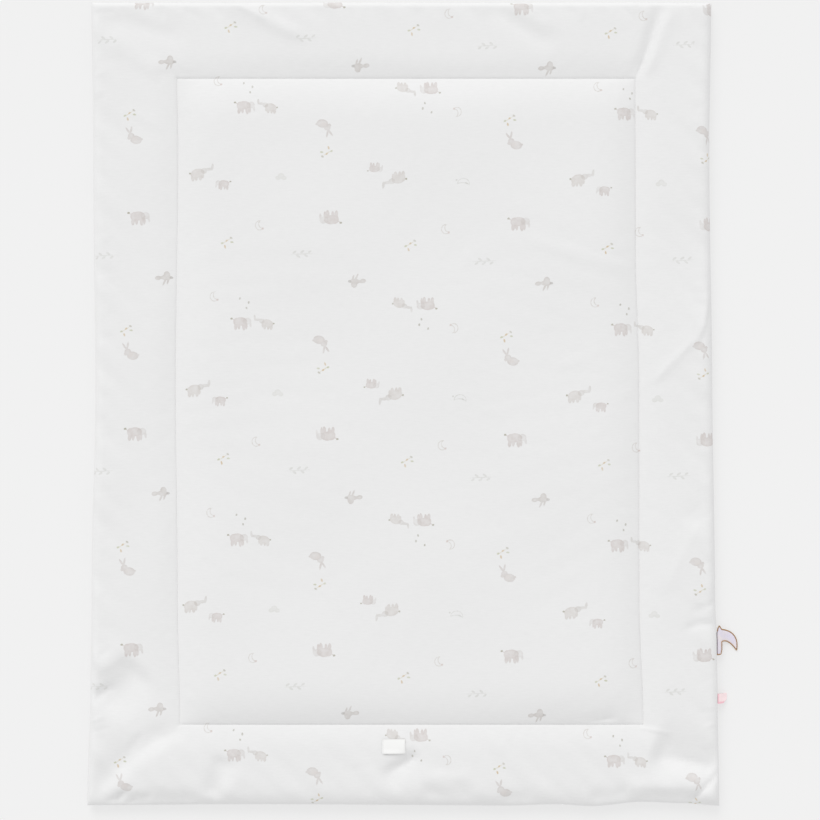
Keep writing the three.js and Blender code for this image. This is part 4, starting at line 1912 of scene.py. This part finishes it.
@dataclass
class Label:
    """The small woven label, bare, laid on the lower border and sewn at both ends.

    Its lower edge stands free: over free_share of its depth it lifts by free_lift and a
    little more in the middle. stitch_ends are where its two rows of stitches run, as shares
    of its width, and stitch_span is how far they reach, as shares of its depth.
    """

    shape: QuiltShape
    x: float = -12.0
    y: float = -403.7
    width: float = 27.0
    depth: float = 17.0
    thickness: float = 0.7
    gap: float = 0.75
    columns: int = 36
    rows: int = 22
    free_share: float = 0.35
    free_lift: float = 0.5
    free_wave: float = 0.6
    crease: float = 50.0
    stitch_ends: Row = (0.045, 0.955)
    stitch_span: Row = (0.06, 0.94)
    stitch_points: int = 12
    stitch_lift: float = 0.05
    pitch: float = 1.9
    length: float = 1.4
    thread: float = 0.28

    def _underside(self, u: Array, v: Array) -> Array:
        """Finds the places of the label's underside.

        Args:
            u: Shares of the way across.
            v: Shares of the way up.

        Returns:
            The point at each pair of shares.
        """
        x = self.x + (u - 0.5) * self.width
        y = self.y + (v - 0.5) * self.depth
        free = ease((self.free_share - v) / self.free_share)
        lift = self.free_lift * free * (1 + self.free_wave * swing(u * 0.5))
        return np.stack([x, y, self.shape.top(x, y) + self.gap + lift], -1)

    def build(self, cloth: Material, thread: Material) -> list[Piece]:
        """Makes the label and its two rows of stitches.

        Args:
            cloth: The label's cloth.
            thread: The thread's material.

        Returns:
            The label and the rows.
        """
        u, v = np.meshgrid(np.linspace(0, 1, self.columns + 1), np.linspace(0, 1, self.rows + 1))
        under = self._underside(u, v)
        shell = Shell()
        upper = shell.add_grid(under + (0, 0, self.thickness), True)
        lower = shell.add_grid(under, False)
        shell.join(lower, upper, True)
        label = mesh_object("bare_label", shell.all_points(), shell.faces)
        label.data.materials.append(cloth)
        lay_cloth(label, np.concatenate([np.stack([u.ravel(), v.ravel()], -1)] * 2))
        shade_smooth(label, self.crease)
        made = [label]
        for side, end in zip(("left", "right"), self.stitch_ends):
            share = np.linspace(*self.stitch_span, self.stitch_points)
            path = self._underside(np.full_like(share, end), share)
            path[:, 2] += self.thickness + self.stitch_lift
            name = f"label_stitches_{side}"
            run = StitchRun(name, Lay.ALONG, self.pitch, self.length, self.thread)
            made.append(run.build(path, False, thread))
        for piece in made:
            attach(piece, BODY)
        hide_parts("label")
        return made


def drop(out: Array, length: float, fall: float = 7.6, floor_gap: float = 0.2) -> Array:
    """Height of the underside of a trim that hangs from the outer seam to the floor.

    Args:
        out: Distances from the seam.
        length: How far out the trim reaches the floor.
        fall: How far it comes down.
        floor_gap: How far it stays above the floor.

    Returns:
        The height at each distance.
    """
    return floor_gap + fall * (1.0 - ease(out / length))


def bent(start: Row, pull: Row, end: Row, count: int) -> Array:
    """Lays points on a line that is bent towards one point.

    Args:
        start: Where it starts.
        pull: The point that it is bent towards.
        end: Where it ends.
        count: How many points to lay.

    Returns:
        The points.
    """
    t = np.linspace(0, 1, count)[:, None]
    middle = 2 * t * (1 - t) * np.array(pull)
    return (1 - t) ** 2 * np.array(start) + middle + t**2 * np.array(end)


@dataclass
class PlayTag:
    """The flat cloth tag: an upright bar with a curved leaf, edged in satin stitch.

    x is measured out from the seam. bar_foot gives the outline's corners as x and height
    above the bar's foot, and bar_head as x and depth below its head. leaf_foot is the x of
    the leaf's upper corner at the bar, its height and that of the lower one, from the
    bar's middle. seam_reach is how far out the row beside the seam lies, and seam_ends is
    how far it stays from the bar's foot and head. thread_lift is how far the stitches
    stand above the middle of the cloth and wrap_spare how much taller than it they are.
    """

    shape: QuiltShape
    y: float = -280.0
    bar_width: float = 6.2
    bar_height: float = 35.0
    bar_foot: tuple[Row, ...] = ((0.4, 0.4), (5.0, 1.2), (6.2, 6.0))
    bar_head: tuple[Row, ...] = ((6.2, 4.5), (3.7, 0.2), (1.9, 3.1), (0.4, 9.0))
    edge_gap: float = 0.15
    drop_length: float = 17.0
    thickness: float = 1.3
    crown: float = 0.7
    soft_edge: float = 3.4
    leaf_foot: tuple[float, float, float] = (7.2, 12.5, -1.5)
    leaf_tip: Row = (24.5, -12.5)
    outer_pull: Row = (28.0, 9.5)
    inner_pull: Row = (15.0, 1.5)
    curve_points: int = 24
    rim_step: float = 0.9
    fill_step: float = 1.1
    path_step: float = 0.5
    crease: float = 50.0
    seam_reach: float = 1.0
    seam_ends: Row = (2.0, 7.0)
    pitch: float = 0.42
    thread: float = 0.46
    thread_lift: float = 0.35
    wrap_spare: float = 0.2
    edge_width: float = 1.9
    seam_width: float = 1.3

    def outline(self) -> Array:
        """Draws the tag's outline about its middle.

        Returns:
            Its corners, anticlockwise from the foot of the bar.
        """
        half = self.bar_height / 2
        foot_x, foot_top, foot_bottom = self.leaf_foot
        inner_foot, outer_foot = (self.bar_width, foot_bottom), (foot_x, foot_top)
        inner = bent(inner_foot, self.inner_pull, self.leaf_tip, self.curve_points)
        outer = bent(self.leaf_tip, self.outer_pull, outer_foot, self.curve_points)
        start = [(x, up - half) for x, up in self.bar_foot]
        end = [(x, half - down) for x, down in self.bar_head]
        return np.concatenate([start, inner, outer[1:], end])

    def build(self, cloth: Material, tan: Material, mauve: Material) -> list[Piece]:
        """Makes the tag's padded cloth and the satin stitch round it.

        Args:
            cloth: The tag's cloth.
            tan: The thread of the open edges.
            mauve: The thread beside the seam.

        Returns:
            The tag and its two rows of stitches.
        """
        line = evenly(self.outline(), self.rim_step)
        tag = self._padded_cloth(line)
        tag.data.materials.append(cloth)
        edge = evenly(self.outline(), self.path_step)
        low, high = self.seam_ends[0], self.bar_height - self.seam_ends[1]
        above_foot = edge[:, 1] + self.bar_height / 2
        beside_seam = (edge[:, 0] < self.seam_reach) & (above_foot > low) & (above_foot < high)
        first = int(np.flatnonzero(beside_seam)[0])
        height = self.thickness + 2 * self.thread_lift + self.wrap_spare
        made = [tag]
        for name, keep, thread, width in (
            ("play_tag_edge", ~beside_seam, tan, self.edge_width),
            ("play_tag_seam", beside_seam, mauve, self.seam_width),
        ):
            turned = np.roll(edge, -first, 0)[np.roll(keep, -first)]
            middle = np.full(len(turned), self.thickness / 2 + self.thread_lift)
            run = StitchRun(name, Lay.ACROSS, self.pitch, width, self.thread, height)
            made.append(run.build(self._placed(turned, middle), False, thread))
        for piece in made:
            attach(piece, BODY)
        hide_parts("play_tag")
        return made

    def _padded_cloth(self, line: Array) -> Piece:
        """Makes the tag's cloth, a little fuller in its middle than at its rim.

        Args:
            line: The points of its outline.

        Returns:
            The cloth.
        """
        flat, faces, rim = filled_outline(line, self.fill_step)
        far = np.linalg.norm(flat[:, None] - line[None], axis=-1).min(1)
        dome = 1.0 - (1.0 - np.clip(far / self.soft_edge, 0.0, 1.0)) ** 2
        lower = self._placed(flat, np.zeros(len(flat)))
        upper = self._placed(flat, self.thickness + self.crown * dome)
        count = len(flat)
        under = [face[::-1] for face in faces]
        over = [[i + count for i in face] for face in faces]
        around = [[a, b, b + count, a + count] for a, b in zip(rim, np.roll(rim, -1))]
        tag = mesh_object("play_tag_leaf", np.concatenate([lower, upper]), under + over + around)
        shade_smooth(tag, self.crease)
        return tag

    def _placed(self, flat: Array, lift: Array) -> Array:
        """Lays points of the tag beside the quilt, from its seam down to the floor.

        Args:
            flat: The points on the flat tag.
            lift: How far each is above the tag's underside.

        Returns:
            The points in place.
        """
        y = self.y + flat[:, 1]
        x = along(self.shape.right_side, y) + self.edge_gap + flat[:, 0]
        return np.stack([x, y, drop(flat[:, 0], self.drop_length) + lift], -1)


@dataclass
class RibbonTab:
    """The folded ribbon caught in the seam, with one corner tucked in.

    cut is how much shorter it is at its lower side, from cut_from of its width on. outside
    is the radius of its fold and ply its thickness. The free end waves up and down.
    """

    shape: QuiltShape
    y: float = -349.0
    width: float = 11.6
    length: float = 12.0
    cut: float = 4.2
    cut_from: float = 0.62
    ply: float = 0.45
    outside: float = 1.45
    edge_gap: float = 0.15
    floor_lift: float = 0.25
    drop_length: float = 12.0
    wave_rise: float = 0.25
    wave_turns: float = 1.3
    wave_shift: float = 0.2
    stations: int = 24
    bend_steps: int = 12
    fold_steps: int = 12
    crease: float = 40.0

    def _hairpin(self, reach: float, radius: float) -> list[Row]:
        """Draws one side of the folded ribbon.

        Args:
            reach: How far out its fold's centre is.
            radius: The radius of its fold.

        Returns:
            The distance out and the height from the fold's centre of each point, out along
            the lower run, round the fold and back.
        """
        out = [reach * i / self.bend_steps for i in range(self.bend_steps + 1)]
        turns = [math.pi * (i / self.fold_steps - 0.5) for i in range(1, self.fold_steps)]
        fold = [(reach + radius * math.cos(turn), radius * math.sin(turn)) for turn in turns]
        return [(at, -radius) for at in out] + fold + [(at, radius) for at in reversed(out)]

    def _section(self, share: float) -> tuple[Array, Array]:
        """Places the ribbon's section at a share of its width.

        Args:
            share: The share, from its upper side.

        Returns:
            The section's points, round its outer and back round its inner side, and how
            far out each is.
        """
        y = self.y + (0.5 - share) * self.width
        tuck = max(0.0, share - self.cut_from) / (1 - self.cut_from)
        reach = self.length - self.cut * tuck - self.outside
        inner = self._hairpin(reach, self.outside - self.ply)
        out, lift = np.array(self._hairpin(reach, self.outside) + inner[::-1]).T
        edge = float(along(self.shape.right_side, np.array([y]))[0]) + self.edge_gap
        wave = self.wave_rise * swing(share * self.wave_turns + self.wave_shift)
        lift = lift + self.outside + wave * ease(out / self.length) + self.floor_lift
        z = drop(out, self.drop_length) + lift
        return np.stack([edge + out, np.full_like(out, y), z], -1), out

    def build(self, cloth: Material) -> Piece:
        """Makes the folded ribbon.

        Args:
            cloth: The ribbon's material.

        Returns:
            The ribbon.
        """
        shell = Shell()
        loops, shares = [], []
        for share in np.arange(self.stations + 1) / self.stations:
            points, out = self._section(float(share))
            loops.append(shell.add_points(points))
            shares.append(np.stack([out / self.length, np.full_like(out, share)], -1))
        for near, far in zip(loops, loops[1:]):
            round_it = np.stack([near, np.roll(near, -1), np.roll(far, -1), far], -1)
            shell.faces += round_it.tolist()
        count = len(loops[0])
        for i in range(count // 2 - 1):
            ply = [i, i + 1, count - 2 - i, count - 1 - i]
            shell.faces.append(loops[0][ply[::-1]].tolist())
            shell.faces.append(loops[-1][ply].tolist())
        ribbon = mesh_object("ribbon_loop", shell.all_points(), shell.faces)
        ribbon.data.materials.append(cloth)
        lay_cloth(ribbon, np.concatenate(shares))
        shade_smooth(ribbon, self.crease)
        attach(ribbon, BODY)
        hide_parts("ribbon_tab")
        return ribbon


def evenly(line: Array, step: float) -> Array:
    """Puts points on a closed line at even steps.

    Args:
        line: The corners of the line, the first only once.
        step: About how far apart the new points are.

    Returns:
        The new points, the first only once.
    """
    line = np.vstack([line, line[:1]])
    run = np.concatenate([[0.0], np.cumsum(np.linalg.norm(np.diff(line, axis=0), axis=1))])
    places = np.linspace(0, run[-1], int(run[-1] / step) + 1)[:-1]
    return np.column_stack([np.interp(places, run, column) for column in line.T])


def filled_outline(line: Array, spacing: float) -> tuple[Array, list[list[int]], list[int]]:
    """Fills a closed flat line with even triangles.

    Args:
        line: The line's points, anticlockwise.
        spacing: How far apart the points inside are.

    Returns:
        The points, the triangles, and the point numbers round the rim.
    """
    spans = [np.arange(low, high, spacing) for low, high in zip(line.min(0), line.max(0))]
    grid = np.stack(np.meshgrid(*spans), -1).reshape(-1, 2)
    x, y = grid[:, None, 0], grid[:, None, 1]
    after = np.roll(line, -1, 0)
    above = (line[None, :, 1] > y) != (after[None, :, 1] > y)
    climb = after[:, 1] - line[:, 1]
    slope = (after[:, 0] - line[:, 0]) / np.where(climb == 0, 1.0, climb)
    crossing = line[None, :, 0] + (y - line[None, :, 1]) * slope[None]
    inside = (above & (x < crossing)).sum(1) % 2 == 1
    clear_of_line = 0.7 * spacing
    clear = np.linalg.norm(grid[:, None] - line[None], axis=-1).min(1) > clear_of_line
    points = [Vector(point) for point in np.concatenate([line, grid[inside & clear]])]
    count = len(line)
    only_inside, closest = 1, 1e-6
    made = delaunay_2d_cdt(points, [], [list(range(count))], only_inside, closest)
    place_of = {source: number for number, sources in enumerate(made[3]) for source in sources}
    rim = [place_of[i] for i in range(count)]
    return np.array([tuple(point) for point in made[0]]), [list(face) for face in made[2]], rim


@dataclass(frozen=True)
class Studio:
    """A pale floor, a camera straight above and soft light from the upper left.

    aim is the place in the middle of the picture and view_width the picture's width at
    focus_height, in millimetres. The floor's size and the camera's far limit are in metres.
    The key light's angles are in degrees, its azimuth from +X towards +Y.
    """

    aim: Row = (7.1, -7.1)
    view_width: float = 969.2
    focus_height: float = 15.0
    lens: float = 100.0
    sensor: float = 36.0
    far_limit: float = 50.0
    floor_size: float = 6.0
    sky: float = 0.81
    key_strength: float = 1.02
    key_spread: float = 36.0
    key_azimuth: float = 108.0
    key_elevation: float = 36.0

    def build(self) -> None:
        """Makes the floor, the camera and the lights."""
        scene = bpy.context.scene
        scene.view_settings.view_transform = "Standard"
        scene.view_settings.look = "None"
        half = self.floor_size / 2 / MM
        corners = [(-half, -half, 0), (half, -half, 0), (half, half, 0), (-half, half, 0)]
        floor = mesh_object("floor", np.array(corners), [[0, 1, 2, 3]])
        # Opal acrylic lit from below is an even pale grey with no gleam and hardly a shadow
        floor.data.materials.append(LitTable().make())
        self._camera(scene)
        self._lights(scene)

    def _camera(self, scene: bpy.types.Scene) -> None:
        """Hangs the camera over the blanket.

        Args:
            scene: The scene that gets it.
        """
        camera = bpy.data.cameras.new("camera")
        camera.lens = self.lens
        camera.sensor_width = self.sensor
        camera.clip_end = self.far_limit
        holder = bpy.data.objects.new("camera", camera)
        scene.collection.objects.link(holder)
        height = self.focus_height + self.view_width * self.lens / self.sensor
        holder.location = (self.aim[0] * MM, self.aim[1] * MM, height * MM)
        scene.camera = holder

    def _lights(self, scene: bpy.types.Scene) -> None:
        """Adds the soft light of the room and the key light.

        Args:
            scene: The scene that gets them.
        """
        world = bpy.data.worlds.new("soft_room")
        world.use_nodes = True
        tree = world.node_tree
        tree.nodes.clear()
        white = (1.0, 1.0, 1.0, 1.0)
        glow = add_node(tree, "ShaderNodeBackground", {"Color": white, "Strength": self.sky})
        add_node(tree, "ShaderNodeOutputWorld", {"Surface": glow})
        scene.world = world
        key = bpy.data.lights.new("window_light", "SUN")
        key.energy = self.key_strength
        key.angle = math.radians(self.key_spread)
        lamp = bpy.data.objects.new("window_light", key)
        scene.collection.objects.link(lamp)
        azimuth, elevation = math.radians(self.key_azimuth), math.radians(self.key_elevation)
        level = math.cos(elevation)
        towards = Vector((math.cos(azimuth) * level, math.sin(azimuth) * level, math.sin(elevation)))
        lamp.location = towards
        lamp.rotation_euler = towards.to_track_quat("Z", "Y").to_euler()


def main() -> None:
    """Builds the blanket piece by piece, and the studio round it."""
    logging.basicConfig(level=logging.INFO, format="%(message)s")
    Studio().build()
    shape = QuiltShape()
    # Plain-woven cotton is matt and white, with fine threads, soft creases and a pale print
    front = WovenCotton("printed_cotton_plain_woven", "#ebebeb", NurseryPrint()).make()
    # The back is the same cloth with nothing printed on it
    back = WovenCotton("white_cotton_plain_woven", "#ebebeb", None).make()
    # Spun polyester is a dull white, a touch darker than the cotton that it is sunk in
    seam_thread = StitchedThread("white_polyester_thread_spun", "#e6e6e5", roughness=0.7, sheen=0.1).make()
    # Rayon is a filament thread, so close satin stitch has a soft gleam along its ridge
    tan = StitchedThread("tan_rayon_thread_satin_stitched", "#c59a64", roughness=0.5, sheen=0.2).make()
    # Beside the seam the satin stitch is mauve, and its colour is also painted darker and duller as shade
    # from the seam
    mauve = StitchedThread("mauve_rayon_thread_satin_stitched", "#a0939a", roughness=0.5, sheen=0.2).make()
    # A satin-woven label is smoother and whiter than the cotton, with a greyer selvedge
    label_cloth = WovenRibbon(
        "white_label_satin_woven", "#f4f4f3", "#ececea", roughness=0.55, rib=0.5, edge_share=0.04
    ).make()
    # Brushed cotton is soft and dull, and its raised nap clouds two pale tones together
    tag_cloth = BrushedCotton("lavender_cotton_brushed", "#ebe3e6", "#e0dbea").make()
    # Satin ribbon gleams across its ribs. It is pale pink, deeper along its lower edge, partly
    # selvedge and partly painted shade, and deeper beside the seam as painted shade
    pink = WovenRibbon(
        "pink_ribbon_satin_woven", "#ffe8ea", "#fac2ce", roughness=0.4, rib=0.6,
        edge_share=0.28, middle=0.0, seam_share=0.2,
    ).make()
    quilt = Quilt(shape)
    body = quilt.build()
    quilt.dress(body, front, back)
    pieces = [body, SewnRectangle(shape).build(seam_thread)]
    pieces += Label(shape).build(label_cloth, seam_thread)
    pieces += PlayTag(shape).build(tag_cloth, tan, mauve)
    pieces.append(RibbonTab(shape).build(pink))
    for piece in pieces:
        LOG.info("%s: %d faces", piece.name, len(piece.data.polygons))


if __name__ == "__main__":
    main()
